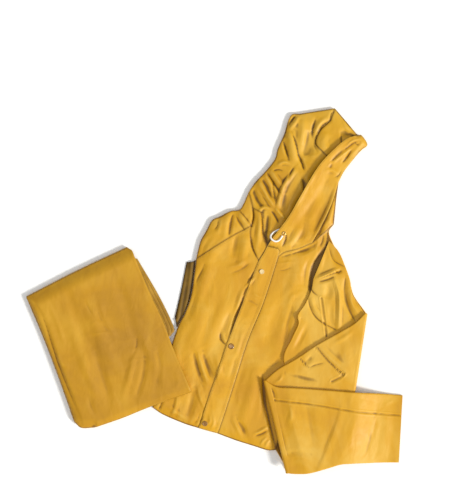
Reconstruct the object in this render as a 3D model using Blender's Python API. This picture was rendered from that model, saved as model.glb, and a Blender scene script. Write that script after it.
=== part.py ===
"""Rain suit, laid out: a hooded jacket on its back, its sides folded under, and folded trousers beside it.

Metres, +Z up, the surface that the suit lies on at Z = 0, the origin under the middle of the whole suit.
Every line of the cut is a short table of plan points. A plan step is a fixed share of the suit's real width.
"""

import math

import bpy
import numpy as np
from mathutils import Vector
from mathutils.geometry import delaunay_2d_cdt

# Driving dimensions
SUIT_WIDTH = 0.977
PLAN_WIDTH = 375.6
PLAN_MIDDLE = (214.45, 290.3)
STEP = SUIT_WIDTH / PLAN_WIDTH

CLOTH = 0.0015
SEAM_GAP = 0.0003
REST_GAP = 0.0006
RIM_DROP = CLOTH * 1.1 + REST_GAP

BODY_HEIGHT = 0.015
HOOD_HEIGHT = 0.0125
EDGE_HEIGHT = 0.009
EDGE_ROLL = 0.024
CORE_DROP = 0.006
PILE_DROP = 0.0045
PILE_RAMP = 0.035
FOLD_FADE = 0.012
CORE_FADE = 0.014
NECK_LEVEL = 236
NECK_RAMP = 0.09
ARMHOLE_LEVEL = 250
ARMHOLE_RAMP = 0.08
FLAP_LIFT = 0.0023
FLAP_RISE = 0.026
FLAP_UNDERLAP = 0.018
BACK_SLEEVE_HEIGHT = 0.0052
BACK_SLEEVE_END = 327

HOOD_LAP_HEIGHT = 0.0028
HOOD_LAP_REST = 0.0004
HOOD_LAP_RAMP = 0.020
HOOD_FOLD_LIFT = 0.009
HOOD_FOLD_WIDTH = 0.045
HOOD_END_SHARE = 0.55
HOOD_RIM_SHARE = 0.25
HOOD_RIM_RAMP = 0.018

PACKET_HEIGHT = 0.026
PACKET_ON_JACKET = 0.0168
PACKET_RAMP = (0.004, 0.024)
PACKET_CORE_DROP = 0.0032
TIGHT_FOLD_DROP = 0.0012
TIGHT_FOLD_REACH = (0.010, 0.040)
LEAF_THICKNESS = 0.0026
LEAF_DROP = 0.0048
LEAF_SHARE = 0.25
LEAF_EDGE_DROP = 0.001
LEAF_EDGE_WIDTH = 0.004

SNAP_HEIGHT = 0.0022
CORD_DIAMETER = 0.0045

LAYER_GROOVE = 0.0014
LAYER_TOP_INSET = 0.0024
STEEPEST_WALL = 1.25

JACKET_LAYERS = 3
PACKET_LAYERS = 4

# Fineness of the meshes
SLEEVE_ACROSS = 9
GRID = 0.0165
PACKET_GRID = 0.019
CORE_GRID = 0.042
PACKET_CORE_GRID = 0.026
RIM_STEP = 0.0135
CORE_RIM_STEP = 0.026
FOLD_STEP = 0.006
SLOPE_REACH = 0.002

# Lines of the cut, each a smooth curve through its points: x to the right, y down, in plan steps
LINES = {
    "hem_right": ((152.5, 406.8), (163, 414), (184, 423), (198.6, 427.6)),
    "hem_flap": ((198.6, 427.6), (217.5, 433.0)),
    "hem_left": ((217.5, 433.0), (235.7, 439.8), (254, 445.6), (267, 449.6), (275.4, 449.6)),
    "side_right": ((196.2, 258.6), (191.5, 293.7), (185, 312.8), (177.5, 328), (164, 370), (152.5, 406.8)),
    "side_left": ((310, 287), (312, 300), (307, 325), (298, 362), (288, 403), (275.4, 449.6)),
    "shoulder_seam": ((251.4, 225.6), (228.8, 238), (209.8, 249.8), (196.2, 258.6)),
    "shoulder_edge": ((196.2, 258.6), (200.6, 241.5), (206.4, 230.7), (212.2, 220.3), (220, 216.6),
                      (230.5, 211.2), (238.8, 210), (243, 205), (248.7, 192)),
    "neck_right": ((258.9, 260.6), (255.4, 254.7), (252, 246.4), (250.4, 233), (251.4, 225.6)),
    "neck_crease": ((251.4, 225.6), (253.3, 216), (252, 205), (248.7, 192)),
    "neck_left": ((278.2, 256.2), (284.3, 252), (298, 248.4), (311.8, 242.7)),
    "neck_back": ((311.8, 242.7), (323, 233.5), (333.6, 224.5)),
    "flap_edge": ((198.6, 427.6), (209, 396.7), (223.8, 353.2), (232.2, 330), (242.9, 302), (251.2, 279.6),
                  (258.9, 260.6)),
    "flap_top_edge": ((258.9, 260.6), (264.5, 251.4), (267, 246.4)),
    "flap_top": ((267, 246.4), (278.2, 249.5), (278.2, 256.2)),
    "flap_stitch": ((278.2, 256.2), (263.6, 301.2), (248.3, 338.4), (236.4, 375.6), (224.5, 412.8),
                    (217.5, 433.0)),
    "collar_top": ((252.6, 208), (262, 213)),
    "collar_edge": ((262, 213), (263.6, 232), (267, 246.4)),
    "hood_side": ((248.7, 192), (255.6, 182), (266, 171), (275, 159), (277.4, 149.7), (284.3, 133.6),
                  (288, 121), (292, 114.8), (299.5, 114.2)),
    "hood_top": ((299.5, 114.2), (334.6, 108.7)),
    "hood_seam": ((334.6, 108.7), (329.5, 121), (319.6, 131), (315, 143), (321, 151), (331, 160)),
    "hood_under": ((331, 160), (322, 170.5), (305, 198.5), (293.5, 218.5), (282, 231.5), (275.5, 236),
                   (270.3, 240.2), (267, 246.4)),
    "hood_front": ((334.6, 108.7), (346, 122), (357.4, 135.6)),
    "hood_under_top": ((357.4, 135.6), (358, 143), (345, 149), (331, 160)),
    "face_edge": ((267, 246.4), (271.8, 238.6), (277.4, 231.2), (289, 215.5), (300.4, 195.6), (317.6, 167),
                  (334.8, 148.5), (346.3, 139.4), (357.4, 135.6)),
    "brim_end": ((357.4, 135.6), (361.4, 136), (367, 145), (361.8, 150), (357, 155), (344.3, 171),
                 (338.3, 182.4)),
    "hood_fold": ((338.3, 182.4), (331, 205), (321, 226), (311.8, 242.7)),
    "collar_side": ((338.3, 182.4), (336, 200), (333.6, 224.5)),
    "neck_point": ((333.6, 224.5), (328.4, 231.5), (327.4, 240)),
    "armhole": ((327.4, 240), (322.3, 252), (314.7, 262), (311.5, 274.6), (310, 287)),
    "pile_side": ((333.6, 224.5), (329, 232), (333, 243.5), (344, 264.4), (350.7, 285.5), (354.2, 296.3),
                  (366, 313)),
    "pile_fold": ((366, 313), (360, 333), (354.5, 357.4), (351.4, 373.5), (354, 390), (350, 432), (345, 458)),
    "pile_bottom": ((345, 458), (324, 464), (306, 468), (287, 470)),
    "pile_end": ((287, 470), (281, 459), (275.4, 449.6)),
    "back_sleeve_side": ((195.4, 259.6), (193.2, 261.4), (186.5, 262.2)),
    "back_sleeve_edge": ((186.5, 262.2), (180.6, 292), (174.8, 317)),
    "back_sleeve_end": ((174.8, 317), (177, 328)),
    "leg_top": ((26.7, 296.3), (76, 271), (127.2, 247)),
    "leg_corner": ((127.2, 247), (133, 250.6)),
    "leg_right": ((133, 250.6), (149, 289.4), (162.8, 319), (174.3, 349), (192, 391.2)),
    "leg_bottom": ((192, 391.2), (152, 405.4), (123.8, 416.8), (94.4, 427)),
    "leg_foot": ((94.4, 427), (82, 427.2), (74.6, 421)),
    "leg_left": ((74.6, 421), (62, 385), (45, 340), (26.7, 296.3)),
    "leaf_root": ((124.5, 255.6), (141, 291), (154, 321), (163, 341)),
    "leaf_notch": ((163, 341), (173.6, 347.5)),
    "leg_right_low": ((173.6, 347.5), (181, 365), (192, 391.2)),
    "leaf_head": ((127.2, 247), (124.5, 255.6)),
}

# Outlines: the lines that close each piece, a minus sign where a line runs backwards
OUTLINES = {
    "front_right": ("hem_right", "+front_hidden", "neck_right", "shoulder_seam", "side_right"),
    "storm_flap": ("flap_edge", "flap_top_edge", "flap_top", "flap_stitch", "-hem_flap"),
    "front_left": ("neck_left", "neck_back", "neck_point", "armhole", "side_left", "-hem_left",
                   "-flap_stitch"),
    "shoulder_right": ("shoulder_seam", "shoulder_edge", "-neck_crease"),
    "collar_right": ("neck_right", "+neck_crease_low", "collar_top", "collar_edge", "-flap_top_edge"),
    "collar_back": ("hood_fold", "neck_back", "-collar_side"),
    "hood_right": ("+neck_crease_high", "hood_side", "hood_top", "hood_seam", "hood_under", "-collar_edge",
                   "-collar_top"),
    "hood_crown": ("-hood_seam", "hood_front", "hood_under_top"),
    "hood_left": ("face_edge", "brim_end", "hood_fold", "-neck_left", "-flap_top"),
    "sleeve_right": ("back_sleeve_side", "back_sleeve_edge", "back_sleeve_end", "+beside_body"),
    "jacket": ("side_right", "hem_right", "hem_flap", "hem_left", "-pile_end", "-pile_bottom", "-pile_fold",
               "-pile_side", "-collar_side", "-brim_end", "-hood_front", "-hood_top", "-hood_side",
               "-shoulder_edge"),
    "sleeve_pile": ("neck_point", "armhole", "side_left", "-pile_end", "-pile_bottom", "-pile_fold",
                    "-pile_side"),
    "trousers": ("leg_top", "leg_corner", "leg_right", "leg_bottom", "leg_foot", "leg_left"),
    "trousers_core": ("leg_top", "leaf_head", "leaf_root", "leaf_notch", "leg_right_low", "leg_bottom",
                      "leg_foot", "leg_left"),
}

# Main folds: lie, start x and y, end x and y, sideways bend, half width (plan steps), height (millimetres)
FOLDS = (
    ("jacket", 222, 215, 219, 232, 1, 5, -2.4),
    ("jacket", 233, 213, 230, 234, -1, 5, -2.6),
    ("jacket", 226, 213, 225, 236, 0, 4, 2.2),
    ("jacket", 240, 212, 241, 232, 2, 5, 2.4),
    ("jacket", 246, 222, 236, 257, 3, 6, -2.4),
    ("jacket", 243, 240, 226, 280, -3, 8, 2.2),
    ("jacket", 258, 214, 258, 252, -1, 5, 2.6),
    ("jacket", 246, 288, 232, 306, 2, 6, 2.6),
    ("jacket", 238, 300, 218, 344, -4, 7, -1.8),
    ("jacket", 199, 355, 214, 382, 3, 9, -2.4),
    ("jacket", 205, 300, 196, 350, 4, 12, 2.2),
    ("jacket", 190, 345, 182, 405, 3, 12, 1.2),
    ("jacket", 194, 385, 186, 420, 2, 7, -1.8),
    ("jacket", 268, 300, 252, 345, 4, 10, 1.6),
    ("jacket", 285, 290, 262, 350, 5, 10, -1.8),
    ("jacket", 256, 380, 240, 430, -3, 9, 2.2),
    ("jacket", 252, 433, 268, 426, 2, 4, 2.0),
    ("jacket", 294, 134, 293, 162, 2, 7, 3.2),
    ("jacket", 283, 140, 287, 160, 1, 4, -2.2),
    ("jacket", 297, 152, 306, 178, 2, 5, -2.6),
    ("jacket", 313, 124, 311, 150, 1, 6, -2.6),
    ("jacket", 324, 124, 318, 146, 3, 5, 2.8),
    ("jacket", 265, 169, 280, 193, -3, 5, -2.4),
    ("jacket", 296, 168, 274, 206, -4, 7, 3.0),
    ("jacket", 258, 186, 276, 210, 2, 6, -2.4),
    ("jacket", 275, 209, 285, 218, 1, 4, 2.6),
    ("jacket", 341, 124, 340, 141, 1, 5, 2.2),
    ("hood_left", 350, 146, 326, 168, 3, 5, 3.4),
    ("hood_left", 351, 152, 341, 164, 1, 4, -2.0),
    ("hood_left", 322, 180, 300, 225, 3, 8, -1.6),
    ("hood_left", 300, 226, 284, 249, -2, 6, 1.8),
    ("trousers", 34, 297, 60, 360, -3, 7, -2.6),
    ("trousers", 60, 360, 85, 421, -2, 6, -2.2),
    ("trousers", 84, 285, 120, 370, 3, 13, 2.4),
    ("trousers", 112, 272, 150, 362, -3, 11, -1.8),
    ("trousers", 92, 340, 128, 405, 2, 10, -2.0),
    ("upper", 320, 280, 336, 271, 2, 5, 2.6),
    ("upper", 334, 275, 338, 325, -2, 6, 3.0),
    ("upper", 347, 279, 350, 312, 3, 5, -1.4),
    ("upper", 312, 300, 305, 330, 2, 7, 1.8),
    ("middle", 315, 346, 342, 373, 3, 7, 2.0),
    ("middle", 299, 356, 312, 372, -2, 6, 1.8),
    ("cuff", 343, 396, 322, 462, 4, 18, 2.6),
    ("cuff", 292, 392, 300, 462, 4, 13, 2.0),
    ("cuff", 306, 402, 318, 440, 3, 8, -1.4),
    ("cuff", 378, 400, 368, 458, 3, 12, 1.8),
)

# The left sleeve, a flattened tube: stretch, underarm side x and y, upper side x and y, underarm and upper
# centre heights, half thickness (heights in millimetres). It doubles back after "upper" and after "middle".
SLEEVE_SECTIONS = (
    ("upper", 313, 279, 328.8, 241.0, 13.0, 12.8, 2.6),
    ("upper", 310.5, 291, 338.3, 251.8, 16.0, 12.6, 2.8),
    ("upper", 304, 304.5, 344.0, 264.4, 18.0, 12.6, 3.0),
    ("upper", 297, 315, 349.5, 280, 18.7, 12.6, 3.0),
    ("upper", 297.5, 324, 351.5, 293, 18.7, 13.0, 3.0),
    ("upper", 291, 338, 356.5, 302, 18.7, 13.2, 3.0),
    ("upper", 283, 358, 360.0, 307.0, 18.7, 13.8, 3.0),
    ("upper", 293, 380, 361.6, 309.6, 18.4, 14.4, 2.8),
    ("upper", 318, 396, 362.6, 311.2, 17.0, 14.6, 2.4),
    ("middle", 344, 414, 354, 322.5, 24.8, 25.2, 2.4),
    ("middle", 333, 430, 339, 331.4, 25.2, 25.4, 2.6),
    ("middle", 317, 446, 315.5, 344.6, 25.2, 25.4, 2.6),
    ("middle", 302, 458, 297, 357, 25.0, 25.2, 2.6),
    ("middle", 292, 466, 278, 368, 24.2, 24.4, 2.4),
    ("cuff", 295, 471.8, 276, 385.2, 31.0, 31.0, 2.6),
    ("cuff", 308, 471.2, 292, 386.2, 33.0, 33.0, 3.0),
    ("cuff", 324, 467, 308, 387.2, 33.4, 33.4, 3.0),
    ("cuff", 339, 462.5, 326, 388.5, 32.8, 33.6, 3.0),
    ("cuff", 349, 461.8, 340, 389.7, 30.6, 33.6, 3.0),
    ("cuff", 357, 461.8, 351, 390.6, 25.0, 33.4, 3.0),
    ("cuff", 366, 462, 363, 391.6, 16.5, 26.0, 3.0),
    ("cuff", 376, 462.1, 375, 392.6, 9.0, 14.0, 3.0),
    ("cuff", 387, 462.2, 388, 393.7, 4.4, 5.6, 3.0),
    ("cuff", 398.4, 462.3, 402.2, 395, 3.4, 3.4, 3.0),
)
# Where it doubles back: after which stretch, fold line's two ends, heights below and above, half thickness
SLEEVE_TURNS = {
    "upper": (352, 402, 365.8, 313, 15.4, 24.6, 2.2),
    "middle": (286.2, 471.6, 263.8, 379.4, 22.6, 30.4, 2.2),
}

# The packet's folded edges: line of the cut, height of the edge, width of the roll down to it, in metres
PACKET_EDGES = (
    ("leg_top", 0.010, 0.040),
    ("leg_left", 0.013, 0.026),
    ("leg_foot", 0.013, 0.026),
    ("leg_bottom", 0.0205, 0.018),
)

# The drawstring's route from under the hood's face edge to the eyelet: x, y, height in millimetres
CORD_ROUTE = (
    (280.0, 229.4, 17.5), (277.4, 230.2, 17.5), (274.8, 231.4, 17.6), (272.6, 233.0, 18.8),
    (270.9, 234.9, 21.4), (270.3, 236.9, 24.4), (270.9, 238.8, 26.5), (272.8, 240.5, 26.6),
    (275.2, 241.4, 25.9), (277.6, 241.0, 25.2), (279.7, 239.4, 25.0), (281.2, 237.4, 25.0),
    (282.1, 235.9, 24.9),
)
EYELET_PLACE = (283.6, 233.6)

# Snap caps: name, x, y, radius in millimetres
SNAPS = (("snap_1", 261.6, 271.5, 6.5), ("snap_2", 231.3, 345.8, 7.5), ("snap_3", 205.2, 422.6, 7.0))

# Colours: red, green, blue, roughness, metallic
MATERIALS = {
    "cloth": (0.66, 0.36, 0.035, 0.48, 0.0),
    "cloth_trousers": (0.52, 0.28, 0.03, 0.5, 0.0),
    "cloth_inside": (0.45, 0.24, 0.03, 0.6, 0.0),
    "snap_brown": (0.22, 0.09, 0.02, 0.4, 0.0),
    "snap_cream": (0.72, 0.55, 0.25, 0.4, 0.0),
    "eyelet_brass": (0.55, 0.38, 0.14, 0.35, 1.0),
    "cord_white": (0.85, 0.83, 0.78, 0.8, 0.0),
}


def clear_scene():
    for item in list(bpy.data.objects):
        bpy.data.objects.remove(item, do_unlink=True)


def material(name):
    found = bpy.data.materials.get(name)
    if found:
        return found
    red, green, blue, roughness, metallic = MATERIALS[name]
    made = bpy.data.materials.new(name)
    made.use_nodes = True
    shader = made.node_tree.nodes["Principled BSDF"]
    shader.inputs["Base Color"].default_value = (red, green, blue, 1)
    shader.inputs["Roughness"].default_value = roughness
    shader.inputs["Metallic"].default_value = metallic
    return made


def add_object(name, points, faces, finish):
    mesh = bpy.data.meshes.new(name)
    mesh.from_pydata([tuple(p) for p in points], [], faces)
    mesh.materials.append(material(finish))
    mesh.shade_smooth()
    mesh.set_sharp_from_angle(angle=math.radians(50))
    made = bpy.data.objects.new(name, mesh)
    bpy.context.scene.collection.objects.link(made)
    return made


# Plan geometry: arrays of (x, y) in metres


def plan(rows):
    """Plan steps to metres from the suit's middle."""
    rows = np.asarray(rows, float)
    return np.column_stack(((rows[:, 0] - PLAN_MIDDLE[0]) * STEP, (PLAN_MIDDLE[1] - rows[:, 1]) * STEP))


def smooth_curve(points, spacing):
    """A Catmull-Rom curve through the points, sampled at even steps of about the spacing."""
    ends = np.vstack((2 * points[0] - points[1], points, 2 * points[-1] - points[-2]))
    t = np.linspace(0, 1, 13)[:-1, None]
    dense = []
    for before, start, end, after in zip(ends, ends[1:], ends[2:], ends[3:]):
        bend = 2 * before - 5 * start + 4 * end - after
        twist = -before + 3 * start - 3 * end + after
        dense.append(0.5 * (2 * start + (end - before) * t + bend * t**2 + twist * t**3))
    dense = np.vstack(dense + [points[-1:]])
    along = np.concatenate(([0], np.cumsum(np.linalg.norm(np.diff(dense, axis=0), axis=1))))
    places = np.linspace(0, along[-1], max(1, round(along[-1] / spacing)) + 1)
    return np.column_stack([np.interp(places, along, dense[:, k]) for k in range(dense.shape[1])])


def cut_line(name, spacing=RIM_STEP):
    """A line of the cut: run backwards after a minus sign, worked out from others after a plus sign."""
    if name == "+front_hidden":
        edge = cut_line("flap_edge", spacing)
        run = edge[-1] - edge[0]
        sideways = np.array((run[1], -run[0])) / np.linalg.norm(run) * FLAP_UNDERLAP
        inner = edge[1:-2] + sideways
        return np.vstack((edge[:1], inner, edge[-1:]))
    if name in ("+neck_crease_low", "+neck_crease_high"):
        crease = cut_line("neck_crease", spacing)
        corner = plan(LINES["collar_top"])[0]
        split = int(np.argmin(np.linalg.norm(crease - corner, axis=1)))
        return crease[: split + 1] if name.endswith("low") else crease[split:]
    if name == "+beside_body":
        side = cut_line("side_right", spacing)
        below = side[:, 1] > plan(((0, BACK_SLEEVE_END),))[0, 1]
        return side[below][:0:-1] - (2 * SEAM_GAP, 0)
    if name.startswith("-"):
        return cut_line(name[1:], spacing)[::-1]
    line = smooth_curve(plan(LINES[name]), spacing)
    if name == "neck_crease":
        corner = plan(LINES["collar_top"])[0]
        line[int(np.argmin(np.linalg.norm(line - corner, axis=1)))] = corner
    return line


def closed_outline(lines, spacing=RIM_STEP):
    """The lines end to end as one anticlockwise ring."""
    ring = np.vstack([cut_line(name, spacing)[:-1] for name in lines])
    following = np.roll(ring, -1, axis=0)
    area = np.sum(ring[:, 0] * following[:, 1] - following[:, 0] * ring[:, 1])
    return ring if area > 0 else ring[::-1]


def inset(ring, distance):
    """Each point of an anticlockwise ring moved inwards, square to its neighbours' directions."""
    ahead = np.roll(ring, -1, axis=0) - ring
    ahead /= np.linalg.norm(ahead, axis=1)[:, None]
    behind = np.roll(ahead, 1, axis=0)
    inward = np.column_stack((-ahead[:, 1] - behind[:, 1], ahead[:, 0] + behind[:, 0]))
    inward /= np.maximum(np.linalg.norm(inward, axis=1), 1e-9)[:, None]
    lean = np.maximum(np.sum(inward * np.column_stack((-ahead[:, 1], ahead[:, 0])), axis=1), 0.5)
    return ring + inward * (distance / lean)[:, None]


def distance_to(points, line, closed=False):
    """Distance from each point to a line, and how far along it the nearest place is, from 0 to 1."""
    line = np.vstack((line, line[:1])) if closed else line
    nearest = np.full(len(points), np.inf)
    along = np.zeros(len(points))
    for index, (start, end) in enumerate(zip(line, line[1:])):
        run = end - start
        share = np.clip((points - start) @ run / max(run @ run, 1e-12), 0, 1)
        gap = np.linalg.norm(points - start - share[:, None] * run, axis=1)
        closer = gap < nearest
        nearest[closer] = gap[closer]
        along[closer] = (index + share[closer]) / (len(line) - 1)
    return nearest, along


def inside(points, ring):
    crossings = np.zeros(len(points), int)
    for start, end in zip(ring, np.roll(ring, -1, axis=0)):
        spans = (start[1] > points[:, 1]) != (end[1] > points[:, 1])
        rise = end[1] - start[1] or 1e-12
        crossed_at = start[0] + (points[:, 1] - start[1]) * (end[0] - start[0]) / rise
        crossings += spans & (points[:, 0] < crossed_at)
    return crossings % 2 == 1


def ease(value):
    value = np.clip(value, 0, 1)
    return value * value * (3 - 2 * value)


# Heights of the laid cloth


def fold_line(row, spacing=FOLD_STEP):
    x0, y0, x1, y1, bend = row[1:6]
    run = math.hypot(x1 - x0, y1 - y0)
    middle = ((x0 + x1) / 2 + bend * (y1 - y0) / run, (y0 + y1) / 2 - bend * (x1 - x0) / run)
    return smooth_curve(plan(((x0, y0), middle, (x1, y1))), spacing)


def relief(points, lie):
    """Height that the main folds of one lie add: a soft ridge or trough that fades out at its ends."""
    total = np.zeros(len(points))
    for row in FOLDS:
        if row[0] != lie:
            continue
        half_width, height = row[6] * STEP, row[7] / 1000
        away, along = distance_to(points, fold_line(row))
        across = np.where(away < half_width, 0.5 + 0.5 * np.cos(np.pi * away / half_width), 0)
        total += height * across * np.sin(np.pi * np.clip(along, 0.04, 0.96)) ** 0.5
    return total


def jacket_lie(points):
    """The smooth top of the laid jacket: level in the middle, rolled down to its outline."""
    neck = ease((points[:, 1] - plan(((0, NECK_LEVEL),))[0, 1]) / NECK_RAMP)
    level = BODY_HEIGHT + (HOOD_HEIGHT - BODY_HEIGHT) * neck
    pile = closed_outline(OUTLINES["sleeve_pile"])
    from_pile, _ = distance_to(points, pile, closed=True)
    from_pile = np.where(inside(points, pile), 0, from_pile)
    below_armhole = ease((plan(((0, ARMHOLE_LEVEL),))[0, 1] - points[:, 1]) / ARMHOLE_RAMP)
    level -= PILE_DROP * (1 - ease(from_pile / PILE_RAMP)) * below_armhole
    away, _ = distance_to(points, closed_outline(OUTLINES["jacket"]), closed=True)
    away = np.where(inside(points, closed_outline(OUTLINES["jacket"])), away, 0)
    rolled = np.sin(np.pi / 2 * np.clip(away / EDGE_ROLL, 0, 1))
    return EDGE_HEIGHT + (level - EDGE_HEIGHT) * rolled


def jacket_top(points):
    away, _ = distance_to(points, closed_outline(OUTLINES["jacket"]), closed=True)
    return jacket_lie(points) + relief(points, "jacket") * ease(away / FOLD_FADE)


def jacket_core_top(points):
    away, _ = distance_to(points, closed_outline(OUTLINES["jacket"]), closed=True)
    return jacket_lie(points) - RIM_DROP - (CORE_DROP - RIM_DROP) * ease(away / CORE_FADE)


def flap_top(points):
    to_stitch, _ = distance_to(points, cut_line("flap_stitch"))
    return jacket_top(points) + FLAP_LIFT * ease(to_stitch / FLAP_RISE)


def hood_left_top(points):
    to_edge, along = distance_to(points, cut_line("face_edge"))
    to_seam, _ = distance_to(points, np.vstack((cut_line("flap_top"), cut_line("neck_left"))))
    to_rim, _ = distance_to(points, np.vstack((cut_line("brim_end"), cut_line("hood_fold"))))
    lap = HOOD_LAP_REST + HOOD_LAP_HEIGHT * ease(to_seam / HOOD_LAP_RAMP)
    swell = HOOD_END_SHARE + (1 - HOOD_END_SHARE) * np.sin(np.pi * along)
    raised = HOOD_FOLD_LIFT * swell * (1 - ease(to_edge / HOOD_FOLD_WIDTH))
    raised *= ease(to_rim / HOOD_RIM_RAMP + HOOD_RIM_SHARE) * ease(to_seam / FOLD_FADE)
    return jacket_lie(points) + lap + raised + relief(points, "hood_left") * ease(to_rim / FOLD_FADE)


def back_sleeve_top(points):
    return np.full(len(points), BACK_SLEEVE_HEIGHT)


def trousers_lie(points):
    """The smooth top of the folded trousers: a wide roll at the upper fold, tight ones at the other edges."""
    height = np.full(len(points), PACKET_HEIGHT)
    for name, edge_height, roll in PACKET_EDGES:
        away, _ = distance_to(points, cut_line(name))
        rolled = np.sin(np.pi / 2 * np.clip(away / roll, 0, 1))
        height = np.minimum(height, edge_height + (PACKET_HEIGHT - edge_height) * rolled)
    return height


def trousers_top(points):
    away, _ = distance_to(points, closed_outline(OUTLINES["trousers"]), closed=True)
    return trousers_lie(points) + relief(points, "trousers") * ease(away / FOLD_FADE)


def trousers_core_top(points):
    away, _ = distance_to(points, closed_outline(OUTLINES["trousers"]), closed=True)
    from_tight_fold, _ = distance_to(points, cut_line("leg_left"))
    near, far = TIGHT_FOLD_REACH
    tight_drop = TIGHT_FOLD_DROP * (1 - ease((from_tight_fold - near) / (far - near)))
    return trousers_lie(points) - RIM_DROP - tight_drop - PACKET_CORE_DROP * ease(away / CORE_FADE)


def trousers_core_bottom(points):
    """Flat on the surface, and over the jacket where the packet lies on it."""
    ring = closed_outline(OUTLINES["jacket"])
    away, _ = distance_to(points, ring, closed=True)
    away = np.where(inside(points, ring), 0, away)
    near, far = PACKET_RAMP
    return PACKET_ON_JACKET * (1 - ease((away - near) / (far - near)))


def flat_bottom(points):
    return np.zeros(len(points))


# Solids


def fill_points(rim, extra, spacing):
    """The rim's points first, then the extra points and an even triangular grid inside the rim."""
    low, high = rim.min(axis=0), rim.max(axis=0)
    rows = []
    row_step = spacing * math.sqrt(3) / 2
    for number in range(int((high[1] - low[1]) / row_step) + 1):
        xs = np.arange(low[0] + (number % 2) * spacing / 2, high[0], spacing)
        rows.append(np.column_stack((xs, np.full(len(xs), low[1] + number * row_step))))
    candidates = np.vstack([e for e in extra if len(e)] + rows)
    candidates = candidates[inside(candidates, rim)]
    away, _ = distance_to(candidates, rim, closed=True)
    candidates = candidates[away > 0.42 * spacing]
    kept = [p for p in rim]
    for point in candidates:
        if np.min(np.linalg.norm(np.array(kept) - point, axis=1)) > 0.62 * spacing:
            kept.append(point)
    return np.array(kept)


def triangulate(points, rim_count):
    """Triangles that fill the rim, as indices into the points, anticlockwise."""
    edges = [(k, (k + 1) % rim_count) for k in range(rim_count)]
    flat = [Vector((float(x) * 1000, float(y) * 1000)) for x, y in points]
    _, _, faces, origins, _, _ = delaunay_2d_cdt(flat, edges, [], 0, 1e-4, True)
    index = [origin[0] for origin in origins]
    corners = [tuple(index[v] for v in face) for face in faces]
    turns = []
    for a, b, c in corners:
        (ax, ay), (bx, by), (cx, cy) = points[a], points[b], points[c]
        turns.append((bx - ax) * (cy - ay) - (by - ay) * (cx - ax))
    sharing = {}
    for number, (a, b, c) in enumerate(corners):
        for pair in ((a, b), (b, c), (c, a)):
            sharing.setdefault(frozenset(pair), []).append(number)
    rim_edges = {frozenset(edge) for edge in edges}
    within = inside(np.array([points[list(face)].mean(axis=0) for face in corners]), points[:rim_count])
    waiting = [max(range(len(corners)), key=lambda k: abs(turns[k]) * within[k])]
    reached = set(waiting)
    while waiting:
        a, b, c = corners[waiting.pop()]
        for pair in (frozenset((a, b)), frozenset((b, c)), frozenset((c, a))):
            for neighbour in sharing[pair]:
                if pair not in rim_edges and neighbour not in reached:
                    reached.add(neighbour)
                    waiting.append(neighbour)
    return [corners[k] if turns[k] > 0 else corners[k][::-1] for k in sorted(reached)]


def slope_of(top, points):
    east = top(points + (SLOPE_REACH, 0)) - top(points - (SLOPE_REACH, 0))
    north = top(points + (0, SLOPE_REACH)) - top(points - (0, SLOPE_REACH))
    return np.hypot(east, north) / (2 * SLOPE_REACH)


def sheet(name, outline, top, lie, finish, wall=CLOTH, spacing=GRID):
    """A cloth wall over its outline: the upper face where top says, the lower face a wall below."""
    rim = inset(outline, SEAM_GAP / 2)
    extra = [inset(outline, 0.55 * spacing)]
    for row in FOLDS:
        if row[0] == lie:
            extra.append(fold_line(row, spacing * 0.8))
    points = fill_points(rim, extra, spacing)
    triangles = triangulate(points, len(rim))
    heights = top(points)
    thickness = wall * np.minimum(np.sqrt(1 + slope_of(top, points) ** 2), STEEPEST_WALL)
    count = len(points)
    upper = np.column_stack((points, heights))
    lower = np.column_stack((points, heights - thickness))
    faces = list(triangles)
    faces += [(c + count, b + count, a + count) for a, b, c in triangles]
    for k in range(len(rim)):
        after = (k + 1) % len(rim)
        faces += [(k, k + count, after + count), (k, after + count, after)]
    return add_object(name, np.vstack((upper, lower)), faces, finish)


def layered_solid(name, outline, top, bottom, layers, finish, spacing):
    """The hidden layers as one solid, whose rim shows each layer's rounded edge."""
    stops = [(0.0, LAYER_GROOVE)]
    for layer in range(layers):
        stops += [((layer + 0.25) / layers, 0.0), ((layer + 0.75) / layers, 0.0)]
        stops.append(((layer + 1) / layers, LAYER_GROOVE if layer < layers - 1 else LAYER_TOP_INSET))
    rim_top, rim_bottom = top(outline), bottom(outline)
    rings = []
    for share, depth in stops:
        ring = inset(outline, SEAM_GAP + depth)
        ceiling = top(ring) if share == 1 else rim_top
        rings.append(np.column_stack((ring, rim_bottom + (ceiling - rim_bottom) * share)))
    count = len(outline)
    points = [p for ring in rings for p in ring]
    faces = []
    for level in range(len(rings) - 1):
        for k in range(count):
            a, b = level * count + k, level * count + (k + 1) % count
            faces += [(a, b, b + count), (a, b + count, a + count)]
    for ring_number, surface, flip in ((len(rings) - 1, top, False), (0, bottom, True)):
        rim = rings[ring_number][:, :2]
        filled = fill_points(rim, [], spacing)
        places = list(range(ring_number * count, (ring_number + 1) * count))
        if len(filled) > count:
            heights = surface(filled[count:])
            places += range(len(points), len(points) + len(heights))
            points += [np.array((x, y, z)) for (x, y), z in zip(filled[count:], heights)]
        for a, b, c in triangulate(filled, count):
            faces.append((places[c], places[b], places[a]) if flip else (places[a], places[b], places[c]))
    return add_object(name, points, faces, finish)


def sleeve_section(stretch, ax, ay, bx, by, za, zb, half):
    under, upper = plan(((ax, ay), (bx, by)))
    return np.array((*under, za / 1000)), np.array((*upper, zb / 1000)), half / 1000, stretch


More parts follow.
